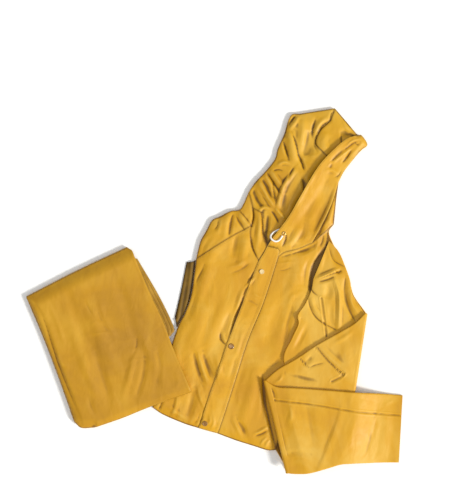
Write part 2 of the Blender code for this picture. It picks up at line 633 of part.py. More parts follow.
def turn_sections(ax, ay, bx, by, low, high, half):
    """Half a turn of the flattened tube round a fold line, from the lower stretch to the upper one."""
    under, upper = plan(((ax, ay), (bx, by)))
    run = (upper - under) / np.linalg.norm(upper - under)
    outward = np.array((run[1], -run[0]))
    if (outward[0] > 0) != (ax > 320):
        outward = -outward
    radius = (high - low) / 2000
    made = []
    for degrees in (0, 35, 70, 110, 145, 180):
        angle = math.radians(degrees)
        shift = outward * radius * (math.sin(angle) - 1)
        height = (low + high) / 2000 - radius * math.cos(angle)
        made.append((np.array((*(under + shift), height)), np.array((*(upper + shift), height)), half / 1000,
                     "turn"))
    return made


def sleeve_stations():
    stations = []
    for number, row in enumerate(SLEEVE_SECTIONS):
        stations.append(sleeve_section(*row))
        last = number + 1 == len(SLEEVE_SECTIONS) or SLEEVE_SECTIONS[number + 1][0] != row[0]
        if last and row[0] in SLEEVE_TURNS:
            stations += turn_sections(*SLEEVE_TURNS[row[0]])
    return stations


def stadium(half_width, half_thickness, across):
    """A flattened ring of (across, up) round the tube: two layers and two rounded sides."""
    straight = half_width - half_thickness
    ring = []
    for side in (1, -1):
        for share in np.linspace(-1, 1, across):
            ring.append((side * share * straight, side * half_thickness))
        for degrees in (45, 0, -45):
            angle = math.radians(degrees)
            ring.append((side * (straight + half_thickness * math.cos(angle)),
                         side * half_thickness * math.sin(angle)))
    return ring


def flat_tube(name, stations, wall, across, finish):
    """An open tube of cloth through its stations: underarm side, upper side, half thickness and stretch."""
    middles = np.array([(under + upper) / 2 for under, upper, _, _ in stations])
    travel = np.gradient(middles, axis=0)
    shells = []
    for depth in (0.0, wall):
        points = []
        for (under, upper, half, _), middle, ahead in zip(stations, middles, travel):
            side = (upper - under) / np.linalg.norm(upper - under)
            up = np.cross(ahead - side * (ahead @ side), side)
            up /= np.linalg.norm(up)
            half_width = np.linalg.norm(upper - under) / 2 - depth
            for across_place, lift in stadium(half_width, half - depth, across):
                points.append((middle + side * across_place + up * lift, lift * up[2] > 0.5 * (half - depth)))
        shells.append(points)
    per_ring = len(shells[0]) // len(stations)
    outer_flat = np.array([p[:2] for p, _ in shells[0]])
    stretch = np.repeat([station[3] for station in stations], per_ring)
    upward = np.array([faces_up for _, faces_up in shells[0]])
    raised = sum(relief(outer_flat, lie) * (stretch == lie) for lie in ("upper", "middle", "cuff")) * upward
    points = [p + (0, 0, lift) for shell in shells for (p, _), lift in zip(shell, raised)]
    inner = len(shells[0])
    faces = []
    for level in range(len(stations) - 1):
        for k in range(per_ring):
            a, b = level * per_ring + k, level * per_ring + (k + 1) % per_ring
            c, d = b + per_ring, a + per_ring
            faces += [(a, c, b), (a, d, c)]
            faces += [(inner + a, inner + b, inner + c), (inner + a, inner + c, inner + d)]
    for level, flip in ((0, False), (len(stations) - 1, True)):
        for k in range(per_ring):
            a, b = level * per_ring + k, level * per_ring + (k + 1) % per_ring
            quad = ((a, b, inner + b), (a, inner + b, inner + a))
            faces += [tuple(reversed(f)) for f in quad] if flip else list(quad)
    return add_object(name, points, faces, finish)


def turned(name, profile, place, up, finish, sides=20):
    """A solid of revolution: profile rows are radius and height, the first and last on the axis."""
    up = Vector(up).normalized()
    turn = Vector((0, 0, 1)).rotation_difference(up)
    points, faces = [Vector((0, 0, profile[0][1]))], []
    for radius, height in profile[1:-1]:
        for k in range(sides):
            angle = 2 * math.pi * k / sides
            points.append(Vector((radius * math.cos(angle), radius * math.sin(angle), height)))
    points.append(Vector((0, 0, profile[-1][1])))
    rings = len(profile) - 2
    for k in range(sides):
        after = (k + 1) % sides
        faces.append((0, 1 + after, 1 + k))
        faces.append((len(points) - 1, 1 + (rings - 1) * sides + k, 1 + (rings - 1) * sides + after))
        for ring in range(rings - 1):
            a, b = 1 + ring * sides + k, 1 + ring * sides + after
            faces += [(a, b, b + sides), (a, b + sides, a + sides)]
    return add_object(name, [turn @ p + Vector(place) for p in points], faces, finish)


def on_cloth(top, x, y, clearance):
    """A place above the cloth at plan point x, y, and the cloth's upward direction there."""
    here = plan(((x, y),))
    reach = 0.004
    east = float((top(here + (reach, 0)) - top(here - (reach, 0)))[0]) / (2 * reach)
    north = float((top(here + (0, reach)) - top(here - (0, reach)))[0]) / (2 * reach)
    up = Vector((-east, -north, 1)).normalized()
    place = Vector((*here[0], float(top(here)[0]))) + up * clearance
    return place, up


# Sub-parts


def jacket():
    outline = {name: closed_outline(lines) for name, lines in OUTLINES.items()}
    for name, top, lie, finish in (
        ("front_right", jacket_top, "jacket", "cloth"),
        ("front_left", jacket_top, "jacket", "cloth"),
        ("storm_flap", flap_top, "jacket", "cloth"),
        ("shoulder_right", jacket_top, "jacket", "cloth"),
        ("collar_right", jacket_top, "jacket", "cloth"),
        ("collar_back", jacket_top, "jacket", "cloth"),
        ("hood_right", jacket_top, "jacket", "cloth_inside"),
        ("hood_crown", jacket_top, "jacket", "cloth_inside"),
        ("hood_left", hood_left_top, "hood_left", "cloth"),
        ("sleeve_right", back_sleeve_top, "none", "cloth_inside"),
    ):
        sheet(name, outline[name], top, lie, finish)
    layered_solid("jacket_folded_layers", closed_outline(OUTLINES["jacket"], CORE_RIM_STEP), jacket_core_top,
                  flat_bottom, JACKET_LAYERS, "cloth", CORE_GRID)
    flat_tube("sleeve_left", sleeve_stations(), CLOTH, SLEEVE_ACROSS, "cloth")


def snaps_and_eyelet():
    for name, x, y, radius in SNAPS:
        place, up = on_cloth(flap_top, x, y, SEAM_GAP * 1.5)
        wide, high = radius / 1000, SNAP_HEIGHT
        profile = ((0, 0), (wide * 0.9, 0), (wide, high * 0.35), (wide * 0.95, high * 0.8),
                   (wide * 0.8, high), (wide * 0.66, high * 0.72), (wide * 0.3, high * 0.6),
                   (0, high * 0.62))
        turned(name, profile, place, up, "snap_cream" if name == "snap_1" else "snap_brown")
    place, up = on_cloth(hood_left_top, *EYELET_PLACE, SEAM_GAP * 1.5)
    profile = ((0, 0), (0.0042, 0), (0.005, 0.0006), (0.0046, 0.0013), (0.0036, 0.0015), (0.0026, 0.0010),
               (0.0020, 0.0004), (0, 0.0004))
    turned("eyelet", profile, place, up, "eyelet_brass", sides=16)


def drawstring():
    flat = plan([row[:2] for row in CORD_ROUTE])
    route = np.column_stack((flat, [row[2] / 1000 for row in CORD_ROUTE]))
    points = smooth_curve(route, CORD_DIAMETER * 0.7)
    curve = bpy.data.curves.new("drawstring", "CURVE")
    curve.dimensions = "3D"
    curve.bevel_depth = CORD_DIAMETER / 2
    curve.bevel_resolution = 2
    curve.use_fill_caps = True
    spline = curve.splines.new("POLY")
    spline.points.add(len(points) - 1)
    for target, (x, y, z) in zip(spline.points, points):
        target.co = (x, y, z, 1)
    curve.materials.append(material("cord_white"))
    made = bpy.data.objects.new("drawstring", curve)
    bpy.context.scene.collection.objects.link(made)


# Fanned edges of the trousers: name, outer line's points from the top down, in plan steps
LEAVES = (
    ("trousers_edge_1", ((134.5, 257.5), (150.5, 291), (165.5, 322.5), (169, 338))),
    ("trousers_edge_2", ((136, 258), (155, 294), (169.5, 324), (171.5, 335))),
    ("trousers_edge_3", ((137.5, 258.5), (159.5, 296.2), (174.0, 327), (172, 334))),
)


def trousers():
    sheet("trousers_leg_top", closed_outline(OUTLINES["trousers"]), trousers_top, "trousers",
          "cloth_trousers", spacing=PACKET_GRID)
    layered_solid("trousers_folded_layers", closed_outline(OUTLINES["trousers_core"], CORE_RIM_STEP),
                  trousers_core_top, trousers_core_bottom, PACKET_LAYERS, "cloth_trousers", PACKET_CORE_GRID)
    root = smooth_curve(plan(LINES["leaf_root"]), RIM_STEP)[1:]
    for number, (name, rows) in enumerate(LEAVES):
        outer = smooth_curve(plan(rows), RIM_STEP)
        ring = np.vstack((outer[::-1], root + (2 * SEAM_GAP, 0)))
        share = 1 - number * LEAF_SHARE

        def leaf_top(points, outer=outer, share=share):
            away, _ = distance_to(points, outer)
            edge_drop = LEAF_EDGE_DROP * (1 - ease(away / LEAF_EDGE_WIDTH))
            return (trousers_lie(points) - LEAF_DROP) * share - edge_drop

        sheet(name, ring, leaf_top, "none", "cloth_trousers", wall=LEAF_THICKNESS)


clear_scene()
jacket()
snaps_and_eyelet()
drawstring()
trousers()
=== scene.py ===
"""Looks of the rain suit: fine cloth shells with their creases, seams, stitches and finishes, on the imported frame.

Metres, +Z up. The lines of the cut are those of the CAD source: short tables of plan points, where a plan
step is a fixed share of the suit's real width.
"""

import math

import bpy
import numpy as np
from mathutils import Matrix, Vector, noise
from mathutils.bvhtree import BVHTree
from mathutils.geometry import delaunay_2d_cdt


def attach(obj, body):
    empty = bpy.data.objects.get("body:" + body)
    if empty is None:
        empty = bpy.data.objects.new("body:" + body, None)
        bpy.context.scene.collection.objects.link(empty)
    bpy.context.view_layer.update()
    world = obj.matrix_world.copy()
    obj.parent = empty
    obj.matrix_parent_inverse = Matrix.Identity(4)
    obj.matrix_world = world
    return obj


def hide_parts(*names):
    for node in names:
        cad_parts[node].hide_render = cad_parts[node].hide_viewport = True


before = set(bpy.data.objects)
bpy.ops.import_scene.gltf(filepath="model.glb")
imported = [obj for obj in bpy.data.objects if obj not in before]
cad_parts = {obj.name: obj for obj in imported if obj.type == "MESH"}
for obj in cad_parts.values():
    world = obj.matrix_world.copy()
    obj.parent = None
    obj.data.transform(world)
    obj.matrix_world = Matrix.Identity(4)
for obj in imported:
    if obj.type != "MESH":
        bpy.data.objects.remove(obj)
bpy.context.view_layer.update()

# Driving dimensions, as in the CAD source
SUIT_WIDTH = 0.977
PLAN_WIDTH = 375.6
PLAN_MIDDLE = (214.45, 290.3)
STEP = SUIT_WIDTH / PLAN_WIDTH

CLOTH = 0.0015
SEAM_GAP = 0.0003
REST_GAP = 0.0006
RIM_DROP = CLOTH * 1.1 + REST_GAP
BODY_HEIGHT = 0.015
HOOD_HEIGHT = 0.0125
EDGE_HEIGHT = 0.009
EDGE_ROLL = 0.024
PILE_DROP = 0.0045
PILE_RAMP = 0.035
FLAP_LIFT = 0.0023
FLAP_UNDERLAP = 0.018
HOOD_FOLD_LIFT = 0.009
HOOD_FOLD_WIDTH = 0.045
PACKET_HEIGHT = 0.026
PACKET_ON_JACKET = 0.0168
PACKET_CORE_DROP = 0.0032
LEAF_THICKNESS = 0.0026
LEAF_DROP = 0.0048
LEAF_SHARE = 0.25
SNAP_HEIGHT = 0.0022
CORD_DIAMETER = 0.0045
RIM_STEP = 0.0135

# Fineness of the looks
FINE_WALL = 0.0012
FINE_GRID = 0.0031
FINE_RIM = 0.0030
CORE_GRID = 0.012
FOLD_FADE = 0.012
CORE_FADE = 0.014
FLAP_RISE = 0.026
FINE_CORE_DROP = 0.0095
ROOT = "root"

SEAM_SINK = 0.0006
SEAM_REACH = 0.005
EDGE_BEAD = 0.0007
EDGE_BEAD_PLACE = 0.0035
EDGE_BEAD_WIDTH = 0.0022
SMOOTHINGS = 7
FOLD_STEP = 0.005
FOLD_DEPTH = 1.2
DEEPEST = 0.0064
DEEPEST_SLEEVE = 0.0044
STANDING_OUT = 0.0011
SLEEVE_ACROSS = 107
SLEEVE_SAMPLES = 24
SLEEVE_STEP = 0.0028
SLEEVE_TURN_STEP = 0.0020

# The photograph: its size in pixels, and the plan height and width that it covers
PHOTO_SIZE = (465, 499)
VIEW_MIDDLE = (232.5, 249.5)
CAMERA_HEIGHT = 3.0
SENSOR = 36.0

# Lines of the cut, each a smooth curve through its points: x to the right, y down, in plan steps
LINES = {
    "hem_right": ((152.5, 406.8), (163, 414), (184, 423), (198.6, 427.6)),
    "hem_flap": ((198.6, 427.6), (217.5, 433.0)),
    "hem_left": ((217.5, 433.0), (235.7, 439.8), (254, 445.6), (267, 449.6), (275.4, 449.6)),
    "side_right": ((196.2, 258.6), (191.5, 293.7), (185, 312.8), (177.5, 328), (164, 370), (152.5, 406.8)),
    "side_left": ((310, 287), (312, 300), (307, 325), (298, 362), (288, 403), (275.4, 449.6)),
    "shoulder_seam": ((251.4, 225.6), (228.8, 238), (209.8, 249.8), (196.2, 258.6)),
    "shoulder_edge": ((196.2, 258.6), (200.6, 241.5), (206.4, 230.7), (212.2, 220.3), (220, 216.6),
                      (230.5, 211.2), (238.8, 210), (243, 205), (248.7, 192)),
    "neck_right": ((258.9, 260.6), (255.4, 254.7), (252, 246.4), (250.4, 233), (251.4, 225.6)),
    "neck_crease": ((251.4, 225.6), (253.3, 216), (252, 205), (248.7, 192)),
    "neck_left": ((278.2, 256.2), (284.3, 252), (298, 248.4), (311.8, 242.7)),
    "neck_back": ((311.8, 242.7), (323, 233.5), (333.6, 224.5)),
    "flap_edge": ((198.6, 427.6), (209, 396.7), (223.8, 353.2), (232.2, 330), (242.9, 302), (251.2, 279.6),
                  (258.9, 260.6)),
    "flap_top_edge": ((258.9, 260.6), (264.5, 251.4), (267, 246.4)),
    "flap_top": ((267, 246.4), (278.2, 249.5), (278.2, 256.2)),
    "flap_stitch": ((278.2, 256.2), (263.6, 301.2), (248.3, 338.4), (236.4, 375.6), (224.5, 412.8),
                    (217.5, 433.0)),
    "collar_top": ((252.6, 208), (262, 213)),
    "collar_edge": ((262, 213), (263.6, 232), (267, 246.4)),
    "hood_side": ((248.7, 192), (255.6, 182), (266, 171), (275, 159), (277.4, 149.7), (284.3, 133.6),
                  (288, 121), (292, 114.8), (299.5, 114.2)),
    "hood_top": ((299.5, 114.2), (334.6, 108.7)),
    "hood_seam": ((334.6, 108.7), (329.5, 121), (319.6, 131), (315, 143), (321, 151), (331, 160)),
    "hood_under": ((331, 160), (322, 170.5), (305, 198.5), (293.5, 218.5), (282, 231.5), (275.5, 236),
                   (270.3, 240.2), (267, 246.4)),
    "hood_front": ((334.6, 108.7), (346, 122), (357.4, 135.6)),
    "hood_under_top": ((357.4, 135.6), (358, 143), (345, 149), (331, 160)),
    "face_edge": ((267, 246.4), (271.8, 238.6), (277.4, 231.2), (289, 215.5), (300.4, 195.6), (317.6, 167),
                  (334.8, 148.5), (346.3, 139.4), (357.4, 135.6)),
    "brim_end": ((357.4, 135.6), (361.4, 136), (367, 145), (361.8, 150), (357, 155), (344.3, 171),
                 (338.3, 182.4)),
    "hood_fold": ((338.3, 182.4), (331, 205), (321, 226), (311.8, 242.7)),
    "collar_side": ((338.3, 182.4), (336, 200), (333.6, 224.5)),
    "neck_point": ((333.6, 224.5), (328.4, 231.5), (327.4, 240)),
    "armhole": ((327.4, 240), (322.3, 252), (314.7, 262), (311.5, 274.6), (310, 287)),
    "pile_side": ((333.6, 224.5), (329, 232), (333, 243.5), (344, 264.4), (350.7, 285.5), (354.2, 296.3),
                  (366, 313)),
    "pile_fold": ((366, 313), (360, 333), (354.5, 357.4), (351.4, 373.5), (354, 390), (350, 432), (345, 458)),
    "pile_bottom": ((345, 458), (324, 464), (306, 468), (287, 470)),
    "pile_end": ((287, 470), (281, 459), (275.4, 449.6)),
    "back_sleeve_side": ((195.4, 259.6), (193.2, 261.4), (186.5, 262.2)),
    "back_sleeve_edge": ((186.5, 262.2), (180.6, 292), (174.8, 317)),
    "back_sleeve_end": ((174.8, 317), (177, 328)),
    "leg_top": ((26.7, 296.3), (76, 271), (127.2, 247)),
    "leg_corner": ((127.2, 247), (133, 250.6)),
    "leg_right": ((133, 250.6), (149, 289.4), (162.8, 319), (174.3, 349), (192, 391.2)),
    "leg_bottom": ((192, 391.2), (152, 405.4), (123.8, 416.8), (94.4, 427)),
    "leg_foot": ((94.4, 427), (82, 427.2), (74.6, 421)),
    "leg_left": ((74.6, 421), (62, 385), (45, 340), (26.7, 296.3)),
    "leaf_root": ((124.5, 255.6), (141, 291), (154, 321), (163, 341)),
    "leaf_notch": ((163, 341), (173.6, 347.5)),
    "leg_right_low": ((173.6, 347.5), (181, 365), (192, 391.2)),
    "leaf_head": ((127.2, 247), (124.5, 255.6)),
}

# Outlines: the lines that close each piece, a minus sign where a line runs backwards
OUTLINES = {
    "front_right": ("hem_right", "+front_hidden", "neck_right", "shoulder_seam", "side_right"),
    "storm_flap": ("flap_edge", "flap_top_edge", "flap_top", "flap_stitch", "-hem_flap"),
    "front_left": ("neck_left", "neck_back", "neck_point", "armhole", "side_left", "-hem_left", "-flap_stitch"),
    "shoulder_right": ("shoulder_seam", "shoulder_edge", "-neck_crease"),
    "collar_right": ("neck_right", "+neck_crease_low", "collar_top", "collar_edge", "-flap_top_edge"),
    "collar_back": ("hood_fold", "neck_back", "-collar_side"),
    "hood_right": ("+neck_crease_high", "hood_side", "hood_top", "hood_seam", "hood_under", "-collar_edge",
                   "-collar_top"),
    "hood_crown": ("-hood_seam", "hood_front", "hood_under_top"),
    "hood_left": ("face_edge", "brim_end", "hood_fold", "-neck_left", "-flap_top"),
    "sleeve_right": ("back_sleeve_side", "back_sleeve_edge", "back_sleeve_end", "+beside_body"),
    "jacket": ("side_right", "hem_right", "hem_flap", "hem_left", "-pile_end", "-pile_bottom", "-pile_fold",
               "-pile_side", "-collar_side", "-brim_end", "-hood_front", "-hood_top", "-hood_side",
               "-shoulder_edge"),
    "sleeve_pile": ("neck_point", "armhole", "side_left", "-pile_end", "-pile_bottom", "-pile_fold", "-pile_side"),
    "trousers": ("leg_top", "leg_corner", "leg_right", "leg_bottom", "leg_foot", "leg_left"),
    "trousers_core": ("leg_top", "leaf_head", "leaf_root", "leaf_notch", "leg_right_low", "leg_bottom",
                      "leg_foot", "leg_left"),
}

# Folds and creases: lie, plan points from start to end, half width (plan steps), height (millimetres), shape.
# "soft" is a rounded swell or trough, "tent" one with flat sides, "sharp" a pinched one, "step" climbs slowly
# and drops off at once on the right-hand side of its run, and "seam" is a sewn groove of even depth.
FOLDS = (
    # right shoulder
    ("jacket", ((218.6, 219), (217.5, 226), (213.8, 231)), 3.5, -2.4, "sharp"),
    ("jacket", ((222, 214), (220.5, 224), (217.5, 234)), 5, 2.4, "tent"),
    ("jacket", ((233.4, 213), (230.8, 223), (229.2, 236)), 4, -4.0, "sharp"),
    ("jacket", ((227.5, 214), (225.5, 226), (224, 240)), 5, 2.0, "soft"),
    ("jacket", ((235.5, 215.5), (239.5, 222.5), (245, 231)), 3, -3.2, "sharp"),
    ("jacket", ((238.5, 213), (243, 219.5), (249.5, 227)), 3.5, 2.6, "tent"),
    ("jacket", ((238, 232), (235.5, 245), (233, 258)), 6.5, -3.2, "soft"),
    ("jacket", ((247, 233), (245, 248), (240, 268)), 6, 2.4, "soft"),
    ("jacket", ((226, 240), (214, 252), (207, 266)), 7, 2.0, "soft"),
    ("jacket", ((205.5, 262), (201.5, 272), (193.5, 286)), 5, -2.4, "sharp"),
    ("jacket", ((212, 262), (206, 280), (197, 300)), 8, 1.8, "soft"),
    ("jacket", ((200, 284), (193, 304), (186, 322)), 6, -1.8, "soft"),
    ("jacket", ((212, 236), (206, 244), (201, 256)), 4, -1.6, "soft"),
    ("jacket", ((238.6, 210), (245.5, 218), (251.5, 226.5)), 2.4, -1.2, "seam"),
    # neck and collar
    ("jacket", ((251.8, 206), (253.4, 216), (251.4, 228)), 2.6, -3.4, "sharp"),
    ("jacket", ((251.0, 236), (252.6, 248), (256.5, 257)), 3, -2.2, "sharp"),
    ("jacket", ((259, 210), (259.5, 226), (257, 248)), 4.5, 3.4, "soft"),
    ("jacket", ((263.5, 214), (263.0, 224), (262, 236)), 3, -2.4, "sharp"),
    ("jacket", ((268, 214), (266.5, 228), (265, 240)), 4, -4.0, "soft"),
    # right front
    ("jacket", ((253.7, 277), (249.5, 282), (244.5, 288)), 3.2, 3.4, "step"),
    ("jacket", ((243.6, 289), (240.5, 298), (236.5, 311)), 3.4, 2.8, "tent"),
    ("jacket", ((247.5, 284), (243, 296), (240, 306)), 3, -2.0, "sharp"),
    ("jacket", ((252, 262), (240, 270), (229, 274)), 3.5, -1.3, "sharp"),
    ("jacket", ((250, 258), (238, 265), (226, 268)), 4, 1.3, "soft"),
    ("jacket", ((238, 304), (228, 322), (219, 342)), 7, -2.2, "soft"),
    ("jacket", ((229, 300), (216, 322), (206, 352)), 9, 2.4, "soft"),
    ("jacket", ((220.5, 333), (220.8, 339), (225.5, 344.5)), 2.4, -2.4, "sharp"),
    ("jacket", ((223.5, 331.5), (223.5, 337), (227, 342)), 2.6, 2.6, "tent"),
    ("jacket", ((203, 352), (207, 364), (214.5, 380)), 6, -3.4, "soft"),
    ("jacket", ((193, 350), (197, 366), (203, 384)), 5, -2.4, "soft"),
    ("jacket", ((198, 348), (202, 364), (208.5, 386)), 4.5, 2.4, "tent"),
    ("jacket", ((208, 300), (199, 326), (192, 352)), 12, 2.8, "soft"),
    ("jacket", ((216, 352), (219, 366), (221, 380)), 5, 1.8, "soft"),
    ("jacket", ((198, 384), (200, 396), (205, 408)), 6, 2.0, "step"),
    ("jacket", ((190, 345), (189, 375), (182, 405)), 10, 1.2, "soft"),
    ("jacket", ((194, 388), (191.5, 403), (186, 420)), 6, -2.2, "soft"),
    ("jacket", ((178, 392), (176, 405), (171, 417)), 5, 2.0, "step"),
    ("jacket", ((163, 398), (161, 405), (157, 412)), 3, -2.6, "sharp"),
    ("jacket", ((168, 405), (178, 413), (190, 420)), 3.5, 1.6, "soft"),
    ("jacket", ((200, 412), (198, 419), (193, 424)), 3, -2.0, "sharp"),
    # flap
    ("jacket", ((262, 262), (259, 276), (254, 292)), 6, 1.2, "soft"),
    ("jacket", ((246, 300), (252, 301.5), (258, 306)), 4, -1.3, "soft"),
    ("jacket", ((252, 292), (258, 296), (263, 297)), 3, 0.9, "soft"),
    ("jacket", ((238.5, 322), (245, 325), (250, 324)), 4, 0.9, "sharp"),
    ("jacket", ((236, 352), (234, 366), (229, 380)), 4, -1.2, "soft"),
    ("jacket", ((243, 330), (238.5, 346), (234, 358)), 3, 1.2, "soft"),
    ("jacket", ((219, 385), (225, 386.5), (231, 391)), 4, 0.9, "sharp"),
    ("jacket", ((208, 424), (210.5, 419.5), (209.5, 414)), 2.4, 1.8, "sharp"),
    ("jacket", ((212, 428), (214, 421.5), (213.5, 415)), 2.4, 1.8, "sharp"),
    ("jacket", ((204, 414), (201, 420), (199.5, 427)), 2.6, -2.2, "sharp"),
    # cloth that sinks beside a raised edge: front opening, hood, armhole, cuff
    ("beside_edge", ((254, 271), (250, 280), (246.5, 289)), 2.6, -2.6, "sharp"),
    ("beside_edge", ((243, 299), (237.5, 314), (230, 336)), 3.6, -4.6, "soft"),
    ("beside_edge", ((232, 338), (222, 362), (213, 388)), 2.4, -1.6, "sharp"),
    ("beside_edge", ((210, 398), (205, 412), (200, 426)), 2.6, -2.6, "sharp"),
    ("beside_edge", ((352, 142), (335, 153), (318, 170), (300, 200), (288, 221), (272, 240)), 7, -4.0, "soft"),
    ("beside_edge", ((325, 246), (317.5, 258), (311.5, 270), (309.6, 292)), 4.4, -5.2, "sharp"),
    ("beside_edge", ((310, 292), (309, 312), (304, 338)), 4, -3.0, "sharp"),
    ("beside_edge", ((262, 374), (264, 396), (269, 420), (275, 446)), 4.2, -4.6, "sharp"),
    # left front
    ("jacket", ((278, 258), (292, 254), (307, 249)), 3, -1.8, "sharp"),
    ("jacket", ((296, 253), (306, 250), (316, 244)), 5, -3.0, "soft"),
    ("jacket", ((318, 236), (317.5, 243), (315, 250)), 2.6, 2.0, "sharp"),
    ("jacket", ((323, 234), (322.5, 240), (319.5, 248)), 2.6, -2.2, "sharp"),
    ("jacket", ((276, 264), (287, 262.5), (296, 262)), 3, 1.1, "sharp"),
    ("jacket", ((275, 270), (284, 270), (292, 267)), 3, -1.0, "sharp"),
    ("jacket", ((268, 300), (261, 322), (252, 345)), 10, 1.8, "soft"),
    ("jacket", ((286, 290), (276, 320), (264, 352)), 10, -2.2, "soft"),
    ("jacket", ((298, 262), (294, 282), (283, 302)), 8, 2.0, "soft"),
    ("jacket", ((312, 256), (306, 270), (305, 288)), 5, -2.4, "soft"),
    ("jacket", ((293, 304), (288, 322), (283, 346)), 5, -2.2, "soft"),
    ("jacket", ((300, 291), (292, 297), (287, 306)), 4, 1.8, "tent"),
    ("jacket", ((258, 360), (251, 394), (239, 430)), 9, 2.6, "soft"),
    ("jacket", ((246, 352), (240, 378), (232, 408)), 6, -1.4, "soft"),
    ("jacket", ((264, 376), (264.5, 392), (262, 420)), 5, -2.4, "soft"),
    ("jacket", ((253.8, 432.6), (260, 430.5), (268, 425.5)), 2.2, 2.6, "sharp"),
    ("jacket", ((255, 435.5), (262, 433), (269, 429)), 2.2, -2.2, "sharp"),
    ("jacket", ((260.5, 445), (262.5, 440.5), (266.6, 436.4)), 2.2, 2.4, "sharp"),
    ("jacket", ((265.5, 446.5), (267, 442), (270, 438.5)), 2.2, 2.2, "sharp"),
    ("jacket", ((238, 420), (243, 428), (246, 438)), 5, -2.6, "soft"),
    ("jacket", ((232, 414), (236, 424), (240, 432)), 4, 1.6, "soft"),
    ("jacket", ((284, 352), (276, 362), (266, 372)), 6, -1.6, "soft"),
    # hood, seen from inside
    ("jacket", ((289.5, 131), (292.0, 146), (294.5, 163)), 6.5, 5.0, "soft"),
    ("jacket", ((282.4, 139.5), (285.2, 149), (288.4, 159)), 2.4, -4.4, "sharp"),
    ("jacket", ((291, 131), (296, 146), (298.6, 157)), 2.4, -2.6, "sharp"),
    ("jacket", ((297.5, 153.5), (301, 161.5), (303.8, 170.5)), 2.8, -5.2, "sharp"),
    ("jacket", ((310, 130), (308.5, 146), (304, 159)), 8.5, -6.0, "soft"),
    ("jacket", ((302, 178), (304, 184), (306, 192)), 4.5, -4.6, "soft"),
    ("jacket", ((315.5, 118.5), (312.3, 130), (313.4, 143.7), (316.5, 151.5)), 3, -4.2, "sharp"),
    ("jacket", ((331, 120.5), (322.4, 126), (316.8, 134), (314.8, 142), (317, 151)), 3, -3.8, "sharp"),
    ("jacket", ((327, 118), (319.5, 124), (315.4, 134)), 3.5, 3.2, "tent"),
    ("jacket", ((302, 119), (303, 130), (301, 146)), 7, 3.4, "soft"),
    ("jacket", ((326, 132), (323, 142), (326, 152)), 7, 3.0, "soft"),
    ("jacket", ((334.8, 110), (331, 115), (329.6, 122)), 2.4, -3.0, "sharp"),
    ("jacket", ((287.0, 126.5), (290.5, 121), (296.3, 114.6)), 3.4, -4.6, "sharp"),
    ("jacket", ((289, 130), (294, 124), (299, 116)), 3, 3.0, "tent"),
    ("jacket", ((340.9, 136), (340.8, 140), (341.4, 145)), 2.2, -3.4, "sharp"),
    ("jacket", ((338, 134), (347, 134), (358, 138)), 6, -3.6, "soft"),
    ("jacket", ((343, 118), (346, 126), (350, 134)), 4, 2.0, "soft"),
    ("jacket", ((265.2, 170.5), (272.8, 182.4), (281, 194.8)), 2.4, -4.6, "sharp"),
    ("jacket", ((270, 169.5), (277.5, 180.5), (284, 189)), 3.4, 2.8, "tent"),
    ("jacket", ((272.8, 182.4), (273.4, 191), (275.2, 200)), 2.4, -3.2, "sharp"),
    ("jacket", ((296.2, 167), (283, 186.5), (276.4, 209)), 5.5, 4.6, "step"),
    ("jacket", ((293.8, 168.3), (290.4, 174), (287.4, 180.3)), 2.2, -3.4, "sharp"),
    ("jacket", ((257.5, 181.5), (266.5, 195), (275, 209)), 4, 4.0, "tent"),
    ("jacket", ((262, 178), (268, 190), (271.5, 200)), 4, -3.4, "soft"),
    ("jacket", ((252, 188), (257, 200), (263, 208)), 4.5, -3.6, "soft"),
    ("jacket", ((274.6, 208), (279, 213), (284, 218.4)), 2.6, 3.2, "sharp"),
    ("jacket", ((271, 211), (275.5, 217), (279, 224)), 3, -3.4, "sharp"),
    ("jacket", ((258, 212), (264, 207.5), (272, 210)), 2.6, 2.6, "sharp"),
    ("jacket", ((277, 166), (283, 162.5), (291, 164)), 3.2, 2.8, "sharp"),
    ("jacket", ((272, 172), (277, 170), (283, 171)), 2.4, -2.0, "sharp"),
    ("jacket", ((286, 194), (284, 204), (284, 214)), 6, -2.2, "soft"),
    # neck band at the back
    ("jacket", ((337.2, 185), (332.4, 195.5), (327.4, 207.5), (323.8, 217)), 3, -5.0, "sharp"),
    ("jacket", ((335, 200), (332, 212), (328, 224)), 3, 2.6, "tent"),
    ("jacket", ((334, 222), (323, 233), (312, 244)), 2.4, 2.2, "sharp"),
    ("jacket", ((327, 216), (322, 226), (318, 236)), 3, -3.0, "sharp"),
    # hood's left side, turned over
    ("hood_left", ((328.4, 165.5), (339.3, 157.4), (349.5, 149.3)), 2.4, 3.0, "sharp"),
    ("hood_left", ((329, 170), (333, 160), (342.5, 150)), 3.4, -2.2, "sharp"),
    ("hood_left", ((350.6, 151.4), (346.5, 157.5), (342, 163.2)), 2.2, -4.4, "sharp"),
    ("hood_left", ((346.2, 147.2), (351, 142), (359, 139.4)), 2.2, 2.2, "sharp"),
    ("hood_left", ((344, 150.5), (350, 145.5), (357, 141.5)), 2.2, -2.2, "sharp"),
    ("hood_left", ((354, 143.5), (357.5, 145.6), (359.5, 142)), 1.8, -1.8, "sharp"),
    ("hood_left", ((364, 142), (357, 149), (349.5, 158)), 3, 1.8, "tent"),
    ("hood_left", ((324, 171.5), (331, 170.5), (337, 174)), 3, 1.6, "sharp"),
    ("hood_left", ((333, 178), (338, 176), (342, 171)), 2.6, -1.8, "sharp"),
    ("hood_left", ((334, 170), (318, 198), (300, 224)), 7, -1.8, "soft"),
    ("hood_left", ((332, 186), (323, 208), (313, 234)), 10, -4.6, "soft"),
    ("hood_left", ((314, 172), (305, 188), (296, 204)), 4, 1.8, "soft"),
    ("hood_left", ((300, 226), (293, 239), (285, 249)), 5, 2.8, "soft"),
    ("hood_left", ((286, 233.5), (285, 240), (281.8, 247.6)), 2.4, -3.2, "sharp"),
    ("hood_left", ((306, 222), (303, 234), (297, 244)), 5, -2.0, "soft"),
    # trousers
